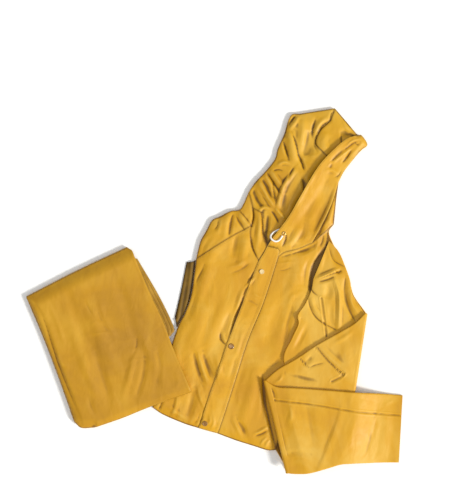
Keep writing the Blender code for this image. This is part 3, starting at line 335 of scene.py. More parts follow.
    ("trousers", ((33, 296), (45.3, 318.8), (55, 349), (63.5, 373.3), (84, 423)), 4, -2.6, "sharp"),
    ("trousers", ((29, 297), (41, 321), (51, 350), (60, 376), (79, 423)), 4, 1.4, "soft"),
    ("trousers", ((49, 300), (58, 320), (66, 344)), 3.5, 0.9, "soft"),
    ("trousers", ((84, 288), (95, 318), (118, 372)), 10, 2.0, "soft"),
    ("trousers", ((112, 268), (125, 300), (150, 362)), 9, -1.6, "soft"),
    ("trousers", ((92, 340), (102, 370), (112, 404)), 7, -2.0, "soft"),
    ("trousers", ((66, 284), (78, 318), (92, 352)), 7, -1.2, "soft"),
    ("trousers", ((128, 300), (144, 340), (164, 380)), 8, 1.6, "soft"),
    ("trousers", ((74, 330), (86, 364), (100, 398)), 7, 1.6, "soft"),
    ("trousers", ((136, 350), (131, 372), (124, 396)), 5, 1.8, "soft"),
    ("trousers", ((146, 352), (144, 374), (136, 400)), 5, -1.8, "soft"),
    ("trousers", ((158, 344), (160, 366), (156, 392)), 5, -1.2, "soft"),
    ("trousers", ((100, 300), (106, 318), (116, 336)), 4, 1.1, "tent"),
    ("trousers", ((86, 300), (91, 310), (96, 318)), 3, -0.9, "sharp"),
    ("trousers", ((138, 336), (137, 346), (133, 356)), 3, -1.1, "sharp"),
    ("trousers", ((96, 414), (92, 404), (90, 394)), 4, -1.1, "soft"),
    ("trousers", ((58, 352), (62, 362), (72, 366)), 3.5, 1.0, "soft"),
    # left sleeve, from the armhole to the first fold
    ("upper", ((328.4, 247), (333, 260), (345.2, 267.4)), 2.6, -2.8, "sharp"),
    ("upper", ((320, 246), (321, 258), (317, 272)), 5, 3.0, "soft"),
    ("upper", ((317, 278.4), (327, 274), (338, 269.6)), 3.2, 4.4, "step"),
    ("upper", ((334.5, 271.5), (338, 272.5), (341, 270.2)), 2.4, -4.0, "sharp"),
    ("upper", ((318, 282), (327, 279.5), (334, 276.5)), 3, -3.4, "sharp"),
    ("upper", ((326, 283), (328, 290), (326, 299)), 6, -3.2, "soft"),
    ("upper", ((332.8, 276), (338.5, 296), (337.8, 331)), 3.6, 4.8, "tent"),
    ("upper", ((345, 276), (344.0, 292), (347, 306), (355, 322)), 4.2, -5.2, "sharp"),
    ("upper", ((350, 290), (351, 302), (358, 314)), 4, 3.4, "tent"),
    ("upper", ((307.4, 295.5), (310, 308), (318, 319.4), (338, 331)), 2.4, -3.0, "sharp"),
    ("upper", ((310.5, 296), (313.5, 307), (320.5, 316)), 3, 2.6, "tent"),
    ("upper", ((320.7, 298), (323.6, 320), (326, 336)), 3, -1.3, "seam"),
    ("upper", ((308.5, 290.5), (296, 303.5), (294.8, 312), (297.6, 318.5), (289, 340)), 3.2, 2.8, "tent"),
    ("upper", ((302, 318), (299, 328), (291, 346)), 7, 1.6, "soft"),
    ("upper", ((306, 326), (300, 338), (294, 350)), 4, -1.8, "soft"),
    ("upper", ((308, 282), (312, 291), (318, 296)), 3, -2.4, "sharp"),
    ("upper", ((330, 304), (330, 318), (333, 328)), 4, -1.6, "soft"),
    # left sleeve, between its folds
    ("middle", ((316, 346), (325.3, 357.3), (334, 366), (342.2, 373)), 3.4, -1.2, "seam"),
    ("middle", ((342.4, 373), (338.6, 376.5), (331, 380.5)), 3.4, -1.2, "seam"),
    ("middle", ((319, 345), (328, 355.5), (337, 363), (346, 371)), 5, 2.0, "tent"),
    ("middle", ((299.3, 356.5), (303.4, 362), (308.8, 367)), 2.6, -2.4, "sharp"),
    ("middle", ((308.5, 366.7), (315, 363.8), (323, 362.2)), 2.4, -2.0, "sharp"),
    ("middle", ((312, 354), (308, 359), (302, 363)), 4, -1.8, "soft"),
    ("middle", ((286, 372), (300, 376), (318, 380)), 4.5, -1.4, "soft"),
    ("middle", ((352, 330), (343, 337), (332, 343)), 3.5, 1.4, "soft"),
    ("middle", ((344, 340), (346, 358), (348, 376)), 8, 1.8, "soft"),
    ("middle", ((282, 372), (280, 378), (274, 382)), 3, 1.8, "sharp"),
    # left sleeve, from its second fold to the cuff
    ("cuff", ((271, 398.4), (296.5, 401), (318.3, 403.8), (339, 407.4), (363.7, 411.2), (383.5, 413.6),
              (404, 415.4)), 2.8, -1.0, "seam"),
    ("cuff", ((341, 398), (337.6, 415.4), (327, 444.5), (315, 472)), 7, 1.4, "step"),
    ("cuff", ((362, 396), (356, 416), (346, 440), (332, 470)), 20, 3.0, "tent"),
    ("cuff", ((288, 390), (292, 418), (306, 470)), 9, 2.8, "tent"),
    ("cuff", ((306, 400), (310, 424), (314, 450)), 7, -1.6, "soft"),
    ("cuff", ((388, 398), (386, 428), (380, 460)), 8, 1.6, "soft"),
    ("cuff", ((376, 398), (372, 428), (364, 458)), 5, -1.3, "soft"),
    ("cuff", ((274, 406), (280, 430), (288, 456)), 3.5, -1.6, "sharp"),
    ("cuff", ((282, 454), (296, 450), (312, 452)), 4, -1.0, "soft"),
    ("cuff", ((290, 404), (291, 412), (288, 422)), 4, 1.4, "soft"),
    ("cuff", ((268, 385), (273, 391), (275, 399)), 4, -2.0, "sharp"),
)
FOLD_SHAPES = {
    "soft": lambda t: 0.5 + 0.5 * np.cos(np.pi * np.clip(t, -1, 1)),
    "sharp": lambda t: (1 - np.clip(np.abs(t), 0, 1)) ** 1.7,
    "tent": lambda t: 1 - np.clip(np.abs(t), 0, 1),
    "step": lambda t: np.where(t < 0, 0.5 + 0.5 * np.cos(np.pi * np.clip(t, -1, 0)),
                               0.5 + 0.5 * np.cos(np.pi * np.clip(t / 0.4, 0, 1))),
    "seam": lambda t: (np.cos(np.pi / 2 * np.clip(np.abs(t) / 0.5, 0, 1))
                       - 0.5 * np.exp(-((np.abs(t) - 0.7) / 0.2) ** 2)),
}

# The left sleeve, a flattened tube: stretch, underarm side x and y, upper side x and y, underarm and upper
# centre heights, half thickness (heights in millimetres). It doubles back after "upper" and after "middle".
SLEEVE_SECTIONS = (
    ("upper", 313, 279, 328.8, 241.0, 13.0, 12.8, 2.6),
    ("upper", 310.5, 291, 338.3, 251.8, 16.0, 12.6, 2.8),
    ("upper", 304, 304.5, 344.0, 264.4, 18.0, 12.6, 3.0),
    ("upper", 297, 315, 349.5, 280, 18.7, 12.6, 3.0),
    ("upper", 297.5, 324, 351.5, 293, 18.7, 13.0, 3.0),
    ("upper", 291, 338, 356.5, 302, 18.7, 13.2, 3.0),
    ("upper", 283, 358, 360.0, 307.0, 18.7, 13.8, 3.0),
    ("upper", 293, 380, 361.6, 309.6, 18.4, 14.4, 2.8),
    ("upper", 318, 396, 362.6, 311.2, 17.0, 14.6, 2.4),
    ("middle", 344, 414, 354, 322.5, 24.8, 25.2, 2.4),
    ("middle", 333, 430, 339, 331.4, 25.2, 25.4, 2.6),
    ("middle", 317, 446, 315.5, 344.6, 25.2, 25.4, 2.6),
    ("middle", 302, 458, 297, 357, 25.0, 25.2, 2.6),
    ("middle", 292, 466, 278, 368, 24.2, 24.4, 2.4),
    ("cuff", 295, 471.8, 276, 385.2, 31.0, 31.0, 2.6),
    ("cuff", 308, 471.2, 292, 386.2, 33.0, 33.0, 3.0),
    ("cuff", 324, 467, 308, 387.2, 33.4, 33.4, 3.0),
    ("cuff", 339, 462.5, 326, 388.5, 32.8, 33.6, 3.0),
    ("cuff", 349, 461.8, 340, 389.7, 30.6, 33.6, 3.0),
    ("cuff", 357, 461.8, 351, 390.6, 25.0, 33.4, 3.0),
    ("cuff", 366, 462, 363, 391.6, 16.5, 26.0, 3.0),
    ("cuff", 376, 462.1, 375, 392.6, 9.0, 14.0, 3.0),
    ("cuff", 387, 462.2, 388, 393.7, 4.4, 5.6, 3.0),
    ("cuff", 398.4, 462.3, 402.2, 395, 3.4, 3.4, 3.0),
)
# Where it doubles back: after which stretch, fold line's two ends, heights below and above, half thickness
SLEEVE_TURNS = {
    "upper": (352, 402, 365.8, 313, 15.4, 24.6, 2.2),
    "middle": (286.2, 471.6, 263.8, 379.4, 22.6, 30.4, 2.2),
}

# The drawstring's route from under the hood's face edge to the eyelet: x, y, height in millimetres
CORD_ROUTE = (
    (280.0, 229.4, 17.5), (277.4, 230.2, 17.5), (274.8, 231.4, 17.6), (272.6, 233.0, 18.8),
    (270.9, 234.9, 21.4), (270.3, 236.9, 24.4), (270.9, 238.8, 26.5), (272.8, 240.5, 26.6),
    (275.2, 241.4, 25.9), (277.6, 241.0, 25.2), (279.7, 239.4, 25.0), (281.2, 237.4, 25.0),
    (282.1, 235.9, 24.9),
)
EYELET_PLACE = (283.6, 233.6)

# Snap caps: name, x, y, radius in millimetres
SNAPS = (("snap_1", 261.6, 271.5, 6.5), ("snap_2", 231.3, 345.8, 7.5), ("snap_3", 205.2, 422.6, 7.0))

# Geometry: arrays of (x, y) in metres


def plan(rows):
    """Plan steps to metres from the suit's middle."""
    rows = np.asarray(rows, float)
    return np.column_stack(((rows[:, 0] - PLAN_MIDDLE[0]) * STEP, (PLAN_MIDDLE[1] - rows[:, 1]) * STEP))


def catmull_rom(points, samples):
    """A Catmull-Rom curve through the points, with so many samples on each stretch."""
    ends = np.vstack((2 * points[0] - points[1], points, 2 * points[-1] - points[-2]))
    t = np.linspace(0, 1, samples + 1)[:-1, None]
    dense = []
    for before, start, end, after in zip(ends, ends[1:], ends[2:], ends[3:]):
        bend = 2 * before - 5 * start + 4 * end - after
        twist = -before + 3 * start - 3 * end + after
        dense.append(0.5 * (2 * start + (end - before) * t + bend * t**2 + twist * t**3))
    return np.vstack(dense + [points[-1:]])


def smooth_curve(points, spacing):
    """The curve through the points, sampled at even steps of about the spacing."""
    dense = catmull_rom(points, 12)
    along = np.concatenate(([0], np.cumsum(np.linalg.norm(np.diff(dense, axis=0), axis=1))))
    places = np.linspace(0, along[-1], max(1, round(along[-1] / spacing)) + 1)
    return np.column_stack([np.interp(places, along, dense[:, k]) for k in range(dense.shape[1])])


def cut_line(name, spacing=RIM_STEP):
    """A line of the cut by its name: backwards after a minus sign, worked out from others after a plus sign."""
    if name == "+front_hidden":
        edge = cut_line("flap_edge", spacing)
        run = edge[-1] - edge[0]
        sideways = np.array((run[1], -run[0])) / np.linalg.norm(run) * FLAP_UNDERLAP
        return np.vstack((edge[:1], edge[1:-2] + sideways, edge[-1:]))
    if name in ("+neck_crease_low", "+neck_crease_high"):
        crease = cut_line("neck_crease", spacing)
        split = int(np.argmin(np.linalg.norm(crease - plan(LINES["collar_top"])[0], axis=1)))
        return crease[: split + 1] if name.endswith("low") else crease[split:]
    if name == "+beside_body":
        side = cut_line("side_right", spacing)
        below = side[:, 1] > plan(((0, 327),))[0, 1]
        return side[below][:0:-1] - (2 * SEAM_GAP, 0)
    if name.startswith("-"):
        return cut_line(name[1:], spacing)[::-1]
    line = smooth_curve(plan(LINES[name]), spacing)
    if name == "neck_crease":
        corner = plan(LINES["collar_top"])[0]
        line[int(np.argmin(np.linalg.norm(line - corner, axis=1)))] = corner
    return line


def closed_outline(lines, spacing=RIM_STEP):
    """The lines end to end as one anticlockwise ring."""
    ring = np.vstack([cut_line(name, spacing)[:-1] for name in lines])
    return ring if polygon_area(ring) > 0 else ring[::-1]


def polygon_area(ring):
    following = np.roll(ring, -1, axis=0)
    return np.sum(ring[:, 0] * following[:, 1] - following[:, 0] * ring[:, 1]) / 2


def inset(ring, distance):
    """Each point of an anticlockwise ring moved inwards, square to its neighbours' directions."""
    ahead = np.roll(ring, -1, axis=0) - ring
    ahead /= np.linalg.norm(ahead, axis=1)[:, None]
    behind = np.roll(ahead, 1, axis=0)
    inward = np.column_stack((-ahead[:, 1] - behind[:, 1], ahead[:, 0] + behind[:, 0]))
    inward /= np.maximum(np.linalg.norm(inward, axis=1), 1e-9)[:, None]
    lean = np.maximum(np.sum(inward * np.column_stack((-ahead[:, 1], ahead[:, 0])), axis=1), 0.5)
    return ring + inward * (distance / lean)[:, None]


def distance_to(points, line, closed=False):
    """From each point to a line: distance, how far along it from 0 to 1, and the side (1 is the right)."""
    line = np.vstack((line, line[:1])) if closed else line
    nearest = np.full(len(points), np.inf)
    along = np.zeros(len(points))
    side = np.ones(len(points))
    for index, (start, end) in enumerate(zip(line, line[1:])):
        run = end - start
        offset = points - start
        share = np.clip(offset @ run / max(run @ run, 1e-12), 0, 1)
        gap = np.linalg.norm(offset - share[:, None] * run, axis=1)
        closer = gap < nearest
        nearest[closer] = gap[closer]
        along[closer] = (index + share[closer]) / (len(line) - 1)
        turn = offset[:, 0] * run[1] - offset[:, 1] * run[0]
        side[closer] = np.where(turn[closer] >= 0, 1, -1)
    return nearest, along, side


def inside(points, ring):
    crossings = np.zeros(len(points), int)
    for start, end in zip(ring, np.roll(ring, -1, axis=0)):
        spans = (start[1] > points[:, 1]) != (end[1] > points[:, 1])
        rise = end[1] - start[1] or 1e-12
        crossings += spans & (points[:, 0] < start[0] + (points[:, 1] - start[1]) * (end[0] - start[0]) / rise)
    return crossings % 2 == 1


def ease(value):
    value = np.clip(value, 0, 1)
    return value * value * (3 - 2 * value)


# Heights of the laid cloth


def crumple(points, seed, grain):
    """The uneven swells, streaks along the grain and pinched creases of coated cloth that was kept folded."""
    cosine, sine = math.cos(math.radians(grain)), math.sin(math.radians(grain))
    heights = []
    for x, y in points:
        along, across = x * cosine + y * sine, y * cosine - x * sine
        sway = noise.noise(Vector((x * 8, y * 8, seed + 0.3)))
        wide = noise.noise(Vector((along * 9 + sway, across * 15 - sway, seed)))
        streak = noise.noise(Vector((along * 15 - sway, across * 36 + sway * 1.5, seed + 2)))
        fine = noise.noise(Vector((along * 42, across * 80 + sway * 4, seed + 5)))
        pinch = 1 - 3.2 * abs(noise.noise(Vector((along * 17 + sway * 3, across * 27, seed + 8))))
        patch = noise.noise(Vector((x * 11, y * 11, seed + 12)))
        creased = max(pinch, 0) ** 1.5 * min(max(patch + 0.15, 0) * 2.5, 1)
        heights.append(0.0012 * wide + 0.0006 * streak + 0.00018 * fine + 0.0008 * creased)
    return np.array(heights)


# How each lie's cloth crumples: seed, how much, and the direction of its grain in degrees
CRUMPLES = {
    "jacket": (1.7, 0.85, 66),
    "hood_left": (5.1, 0.8, 58),
    "trousers": (8.3, 0.85, -66),
    "upper": (2.4, 1.1, -80),
    "middle": (3.9, 0.8, 35),
    "cuff": (6.6, 0.7, -96),
}


def relief(points, lie, also=None):
    """Height that the folds of one lie (and of another) and the cloth's own crumple add."""
    seed, share, grain = CRUMPLES[lie]
    total = crumple(points, seed, grain) * share
    for fold_lie, places, width, height, shape in FOLDS:
        if fold_lie not in (lie, also):
            continue
        line = smooth_curve(plan(places), FOLD_STEP)
        half_width = width * STEP
        near = np.all((points > line.min(axis=0) - half_width) & (points < line.max(axis=0) + half_width), axis=1)
        if not near.any():
            continue
        away, along, side = distance_to(points[near], line)
        across = FOLD_SHAPES[shape](side * away / half_width)
        fade = 1 if shape == "seam" else np.sin(np.pi * np.clip(along, 0.02, 0.98)) ** 0.6
        total[near] += FOLD_DEPTH * height / 1000 * across * fade
    deepest = DEEPEST_SLEEVE if lie in ("upper", "middle", "cuff") else DEEPEST
    return np.where(total < -deepest / 2, -deepest / 2 * (1 + np.tanh(-2 * total / deepest - 1)), total)


def jacket_lie(points):
    """The smooth top of the laid jacket: level in the middle, rolled down to its outline."""
    neck = ease((plan(((0, 236),))[0, 1] - points[:, 1]) / -0.09)
    level = BODY_HEIGHT + (HOOD_HEIGHT - BODY_HEIGHT) * neck
    pile = closed_outline(OUTLINES["sleeve_pile"])
    from_pile = distance_to(points, pile, closed=True)[0]
    from_pile = np.where(inside(points, pile), 0, from_pile)
    below_armhole = ease((plan(((0, 250),))[0, 1] - points[:, 1]) / 0.08)
    level -= PILE_DROP * (1 - ease(from_pile / PILE_RAMP)) * below_armhole
    ring = closed_outline(OUTLINES["jacket"])
    away = np.where(inside(points, ring), distance_to(points, ring, closed=True)[0], 0)
    rolled = np.sin(np.pi / 2 * np.clip(away / EDGE_ROLL, 0, 1))
    return EDGE_HEIGHT + (level - EDGE_HEIGHT) * rolled


def jacket_top(points):
    away = distance_to(points, closed_outline(OUTLINES["jacket"]), closed=True)[0]
    return jacket_lie(points) + relief(points, "jacket") * ease(away / FOLD_FADE)


def sinking_top(points):
    """The jacket's top where the cloth sinks beside a raised edge."""
    away = distance_to(points, closed_outline(OUTLINES["jacket"]), closed=True)[0]
    return jacket_lie(points) + relief(points, "jacket", "beside_edge") * ease(away / FOLD_FADE)


def jacket_core_top(points):
    away = distance_to(points, closed_outline(OUTLINES["jacket"]), closed=True)[0]
    return jacket_lie(points) - RIM_DROP - (FINE_CORE_DROP - RIM_DROP) * ease(away / CORE_FADE)


def flap_top(points):
    to_stitch = distance_to(points, cut_line("flap_stitch"))[0]
    to_edge = distance_to(points, cut_line("flap_edge"))[0]
    waves = np.array([noise.noise(Vector((x * 21, y * 21, 4.4))) for x, y in points])
    curl = 0.0024 * np.clip(waves + 0.1, 0, 1) * (1 - ease(to_edge / 0.016))
    return jacket_top(points) + FLAP_LIFT * ease(to_stitch / FLAP_RISE) + curl


def hood_left_top(points):
    to_edge, along, _ = distance_to(points, cut_line("face_edge"))
    to_seam = distance_to(points, np.vstack((cut_line("flap_top"), cut_line("neck_left"))))[0]
    raised = HOOD_FOLD_LIFT * (0.55 + 0.45 * np.sin(np.pi * along)) * (1 - ease(to_edge / HOOD_FOLD_WIDTH))
    step = 0.0028 * ease(to_seam / 0.02) + 0.0004
    to_rim = distance_to(points, np.vstack((cut_line("brim_end"), cut_line("hood_fold"))))[0]
    folds = relief(points, "hood_left") * ease(to_rim / 0.01)
    return jacket_lie(points) + step + raised * ease(to_rim / 0.018 + 0.25) * ease(to_seam / 0.012) + folds


def back_sleeve_top(points):
    """The edge of the sleeve behind: rolled down at its outer side, with two folds along it."""
    away = distance_to(points, cut_line("back_sleeve_edge"))[0]
    folds = 0.0011 * np.sin(away / 0.0024 + 25 * points[:, 1])
    return 0.0028 + 0.0026 * ease(away / 0.009) + folds * ease(away / 0.004)


def trousers_lie(points):
    """The smooth top of the folded trousers: a wide roll at the upper fold, tight ones at the other edges."""
    height = np.full(len(points), PACKET_HEIGHT)
    for name, edge_height, roll in (("leg_top", 0.010, 0.040), ("leg_left", 0.013, 0.026),
                                    ("leg_foot", 0.013, 0.026), ("leg_bottom", 0.0205, 0.018)):
        away = distance_to(points, cut_line(name))[0]
        rolled = np.sin(np.pi / 2 * np.clip(away / roll, 0, 1))
        height = np.minimum(height, edge_height + (PACKET_HEIGHT - edge_height) * rolled)
    return height


def trousers_top(points):
    away = distance_to(points, closed_outline(OUTLINES["trousers"]), closed=True)[0]
    return trousers_lie(points) + relief(points, "trousers") * ease(away / FOLD_FADE)


def trousers_core_top(points):
    away = distance_to(points, closed_outline(OUTLINES["trousers"]), closed=True)[0]
    from_tight_fold = distance_to(points, cut_line("leg_left"))[0]
    tight_drop = 0.0012 * (1 - ease((from_tight_fold - 0.010) / 0.030))
    return trousers_lie(points) - RIM_DROP - tight_drop - PACKET_CORE_DROP * ease(away / CORE_FADE)


def trousers_core_bottom(points):
    """Flat on the surface, and over the jacket where the packet lies on it."""
    ring = closed_outline(OUTLINES["jacket"])
    away = np.where(inside(points, ring), 0, distance_to(points, ring, closed=True)[0])
    return PACKET_ON_JACKET * (1 - ease((away - 0.004) / 0.020))


def flat_bottom(points):
    return np.zeros(len(points))


# Meshes


def fill_points(rim, spacing):
    """The rim's points first, then an even triangular grid inside the rim."""
    low, high = rim.min(axis=0), rim.max(axis=0)
    row_step = spacing * math.sqrt(3) / 2
    rows = []
    for number in range(int((high[1] - low[1]) / row_step) + 1):
        xs = np.arange(low[0] + (number % 2) * spacing / 2, high[0], spacing)
        rows.append(np.column_stack((xs, np.full(len(xs), low[1] + number * row_step))))
    grid = np.vstack(rows)
    grid = grid[inside(grid, rim)]
    grid = grid[distance_to(grid, rim, closed=True)[0] > 0.5 * spacing]
    return np.vstack((rim, grid))


def triangulate(points, rim_count):
    """Triangles that fill the rim, as indices into the points, anticlockwise."""
    edges = [(k, (k + 1) % rim_count) for k in range(rim_count)]
    flat = [Vector((float(x) * 1000, float(y) * 1000)) for x, y in points]
    _, _, faces, origins, _, _ = delaunay_2d_cdt(flat, edges, [], 0, 1e-4, True)
    index = [origin[0] for origin in origins]
    corners = [tuple(index[v] for v in face) for face in faces]
    a, b, c = (points[[corner[k] for corner in corners]] for k in range(3))
    turns = (b[:, 0] - a[:, 0]) * (c[:, 1] - a[:, 1]) - (b[:, 1] - a[:, 1]) * (c[:, 0] - a[:, 0])
    sharing = {}
    for number, (i, j, k) in enumerate(corners):
        for pair in ((i, j), (j, k), (k, i)):
            sharing.setdefault(frozenset(pair), []).append(number)
    rim_edges = {frozenset(edge) for edge in edges}
    within = inside((a + b + c) / 3, points[:rim_count])
    waiting = [int(np.argmax(np.abs(turns) * within))]
    reached = set(waiting)
    while waiting:
        i, j, k = corners[waiting.pop()]
        for pair in (frozenset((i, j)), frozenset((j, k)), frozenset((k, i))):
            for neighbour in sharing[pair]:
                if pair not in rim_edges and neighbour not in reached:
                    reached.add(neighbour)
                    waiting.append(neighbour)
    return [corners[k] if turns[k] > 0 else corners[k][::-1] for k in sorted(reached)]


def slope_of(top, points):
    reach = 0.0015
    east = top(points + (reach, 0)) - top(points - (reach, 0))
    north = top(points + (0, reach)) - top(points - (0, reach))
    return np.hypot(east, north) / (2 * reach)


def add_mesh(name, points, faces, finish, marks=None):
    """A piece that rides on the suit, with its finish and its marks for the finish to read."""
    mesh = bpy.data.meshes.new(name)
    mesh.from_pydata([tuple(p) for p in points], [], faces)
    mesh.materials.append(finish)
    mesh.shade_smooth()
    mesh.set_sharp_from_angle(angle=math.radians(60))
    for mark, values in (marks or {}).items():
        layer = mesh.attributes.new(mark, "FLOAT", "POINT")
        layer.data.foreach_set("value", np.asarray(values, dtype=np.float32))
    made = bpy.data.objects.new(name, mesh)
    bpy.context.scene.collection.objects.link(made)
    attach(made, ROOT)
    return made


def standing_out(heights, faces):
    """How far each point stands above (to 1) or below (to -1) the surface around it."""
    faces = np.array(faces)
    smooth = heights.copy()
    for _ in range(SMOOTHINGS):
        total, count = np.zeros(len(heights)), np.zeros(len(heights))
        for k in range(3):
            for other in range(3):
                np.add.at(total, faces[:, k], smooth[faces[:, other]])
                np.add.at(count, faces[:, k], 1)
        smooth = total / np.maximum(count, 1)
    return np.clip((heights - smooth) / STANDING_OUT, -1, 1)


def cloth_sheet(name, outline, top, finish, wall=FINE_WALL, turned_edge=False, shade=()):
    """A fine cloth shell in the place of the CAD node of that name; the size of its cut is worked out but not used.

    Along the shade lines painted shade darkens the cloth: each row is a line of the cut and its width in metres.
    """
    rim = inset(outline, SEAM_GAP / 2)
    points = fill_points(rim, FINE_GRID)
    triangles = triangulate(points, len(rim))
    heights = top(points)
    thickness = wall * np.minimum(np.sqrt(1 + slope_of(top, points) ** 2), 1.25)
    from_rim = distance_to(points, rim, closed=True)[0]
    puckers = np.array([noise.noise(Vector((x * 160, y * 160, 2.2))) for x, y in points])
    if turned_edge:
        heights = heights + EDGE_BEAD * np.exp(-((from_rim - EDGE_BEAD_PLACE) / EDGE_BEAD_WIDTH) ** 2)
    heights = heights - SEAM_SINK * (1 - ease(from_rim / SEAM_REACH)) * (0.75 + 0.5 * puckers)
    count = len(points)
    faces = list(triangles)
    faces += [(c + count, b + count, a + count) for a, b, c in triangles]
    for k in range(len(rim)):
        after = (k + 1) % len(rim)
        faces += [(k, k + count, after + count), (k, after + count, after)]
    # Rim mark for painted light: painted shade within 6 mm of a cut edge, painted highlight along a turned edge.
    edge = (1 - ease(from_rim / 0.006)) * (-1 if turned_edge else 1)
    # Folds mark for painted light: painted shade in creases, painted highlight on ridges, and painted shade along
    # the shade lines.
    folds = standing_out(heights, triangles)
    for line, width in shade:
        folds = np.clip(folds - 0.8 * (1 - ease(distance_to(points, cut_line(line))[0] / width)), -1, 1)
    marks = {"folds": np.tile(folds, 2), "rim": np.tile(edge, 2)}
    solid = np.vstack((np.column_stack((points, heights)), np.column_stack((points, heights - thickness))))
    made = add_mesh(name + "_cloth", solid, faces, finishes[finish], marks)
    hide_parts(name)
    area = polygon_area(outline)
    width, length = cut_size(outline, area)
    return made


def cut_size(outline, area):
    """Width and length of the smallest upright or turned rectangle that the cut fits in."""
    best = None
    for degrees in range(0, 90, 3):
        angle = math.radians(degrees)
        across = outline @ (math.cos(angle), math.sin(angle))
        along = outline @ (-math.sin(angle), math.cos(angle))
        size = sorted((float(np.ptp(across)), float(np.ptp(along))))
        if best is None or size[0] * size[1] < best[0] * best[1]:
            best = size
    return best


def layered_solid(name, outline, top, bottom, layers, finish):
    """The hidden layers as one solid: its rim shows each layer's rounded, slightly uneven edge."""
    groove, top_inset = 0.0014, 0.0024
    stops = [(0.0, groove)]
    for layer in range(layers):
        for share, depth in ((0.12, 0.0004), (0.3, 0.0), (0.5, 0.0), (0.7, 0.0), (0.88, 0.0004)):
            stops.append(((layer + share) / layers, depth))
        stops.append(((layer + 1) / layers, groove if layer < layers - 1 else top_inset))
    rim_top, rim_bottom = top(outline), bottom(outline)
    rings = []
    for share, depth in stops:
        sway = np.array([noise.noise(Vector((x * 14, y * 14, share * layers // 1 * 3.1))) for x, y in outline])
        inward = inset(outline, SEAM_GAP + depth)
        uneven = np.clip(sway, 0, 0.6) * 0.9 * (0 < share < 1)
        ring = inward + (inset(outline, 0.002) - outline) * uneven[:, None]
        ceiling = top(inward) if share == 1 else rim_top
        rings.append(np.column_stack((ring, rim_bottom + (ceiling - rim_bottom) * share)))
    count = len(outline)
    points = [p for ring in rings for p in ring]
    faces = []
    for level in range(len(rings) - 1):
        for k in range(count):
            a, b = level * count + k, level * count + (k + 1) % count
            faces += [(a, b, b + count), (a, b + count, a + count)]
    for ring_number, surface, flip in ((len(rings) - 1, top, False), (0, bottom, True)):
        filled = fill_points(rings[ring_number][:, :2], CORE_GRID)
        places = list(range(ring_number * count, (ring_number + 1) * count))
        heights = surface(filled[count:])
        places += range(len(points), len(points) + len(heights))
        points += [np.array((x, y, z)) for (x, y), z in zip(filled[count:], heights)]
        for a, b, c in triangulate(filled, count):
            faces.append((places[c], places[b], places[a]) if flip else (places[a], places[b], places[c]))
    # Painted shade: the solid's top and bottom carry a dark folds mark, since they show only in crevices; its rim
    # does not.
    shaded = np.where(np.arange(len(points)) < (len(rings) - 1) * count, 0.0, -0.9)
    made = add_mesh(name + "_edges", points, faces, finish, {"folds": shaded})
    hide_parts(name)
    return made


def sleeve_stations():
    """The flattened sleeve's stations: both sides' places, half thickness and which stretch each is in."""
    rows, stretches = [], []
    for number, (stretch, ax, ay, bx, by, za, zb, half) in enumerate(SLEEVE_SECTIONS):
        (under, upper) = plan(((ax, ay), (bx, by)))
        rows.append((*under, za / 1000, *upper, zb / 1000, half / 1000))
        stretches.append(stretch)
        last = number + 1 == len(SLEEVE_SECTIONS) or SLEEVE_SECTIONS[number + 1][0] != stretch
        if last and stretch in SLEEVE_TURNS:
            ax, ay, bx, by, low, high, half = SLEEVE_TURNS[stretch]
            under, upper = plan(((ax, ay), (bx, by)))
            run = (upper - under) / np.linalg.norm(upper - under)
            outward = np.array((run[1], -run[0]))
            outward = -outward if (outward[0] > 0) != (ax > 320) else outward
            radius = (high - low) / 2000
            for degrees in (0, 35, 70, 110, 145, 180):
                angle = math.radians(degrees)
                shift = outward * radius * (math.sin(angle) - 1)
                height = (low + high) / 2000 - radius * math.cos(angle)
                rows.append((*(under + shift), height, *(upper + shift), height, half / 1000))
                stretches.append("turn")
    return np.array(rows), stretches


def stadium(half_width, half_thickness, across):
    """A flattened ring of (across, up) round the tube: two layers and two rounded sides."""
    straight = half_width - half_thickness
    ring = []
    for side in (1, -1):
        for share in np.linspace(-1, 1, across):
            ring.append((side * share * straight, side * half_thickness))
        for degrees in (60, 30, 0, -30, -60):
            angle = math.radians(degrees)
            ring.append((side * (straight + half_thickness * math.cos(angle)),
                         side * half_thickness * math.sin(angle)))
    return ring


def sleeve_skin(middles, under, upper, half, travel, depth):
    """Points of the sleeve's skin at a depth in the cloth, ring by ring, and how far each faces up."""
    points, lifts = [], []
    for k, middle in enumerate(middles):
        side = (upper[k] - under[k]) / np.linalg.norm(upper[k] - under[k])
        up = np.cross(travel[k] - side * (travel[k] @ side), side)
        up /= np.linalg.norm(up)
        half_width = np.linalg.norm(upper[k] - under[k]) / 2 - depth
        for across_place, lift in stadium(half_width, half[k] - depth, SLEEVE_ACROSS):
            points.append(middle + side * across_place + up * lift)
            lifts.append(max(lift * up[2] / (half[k] - depth), 0))
    return np.array(points), np.array(lifts)


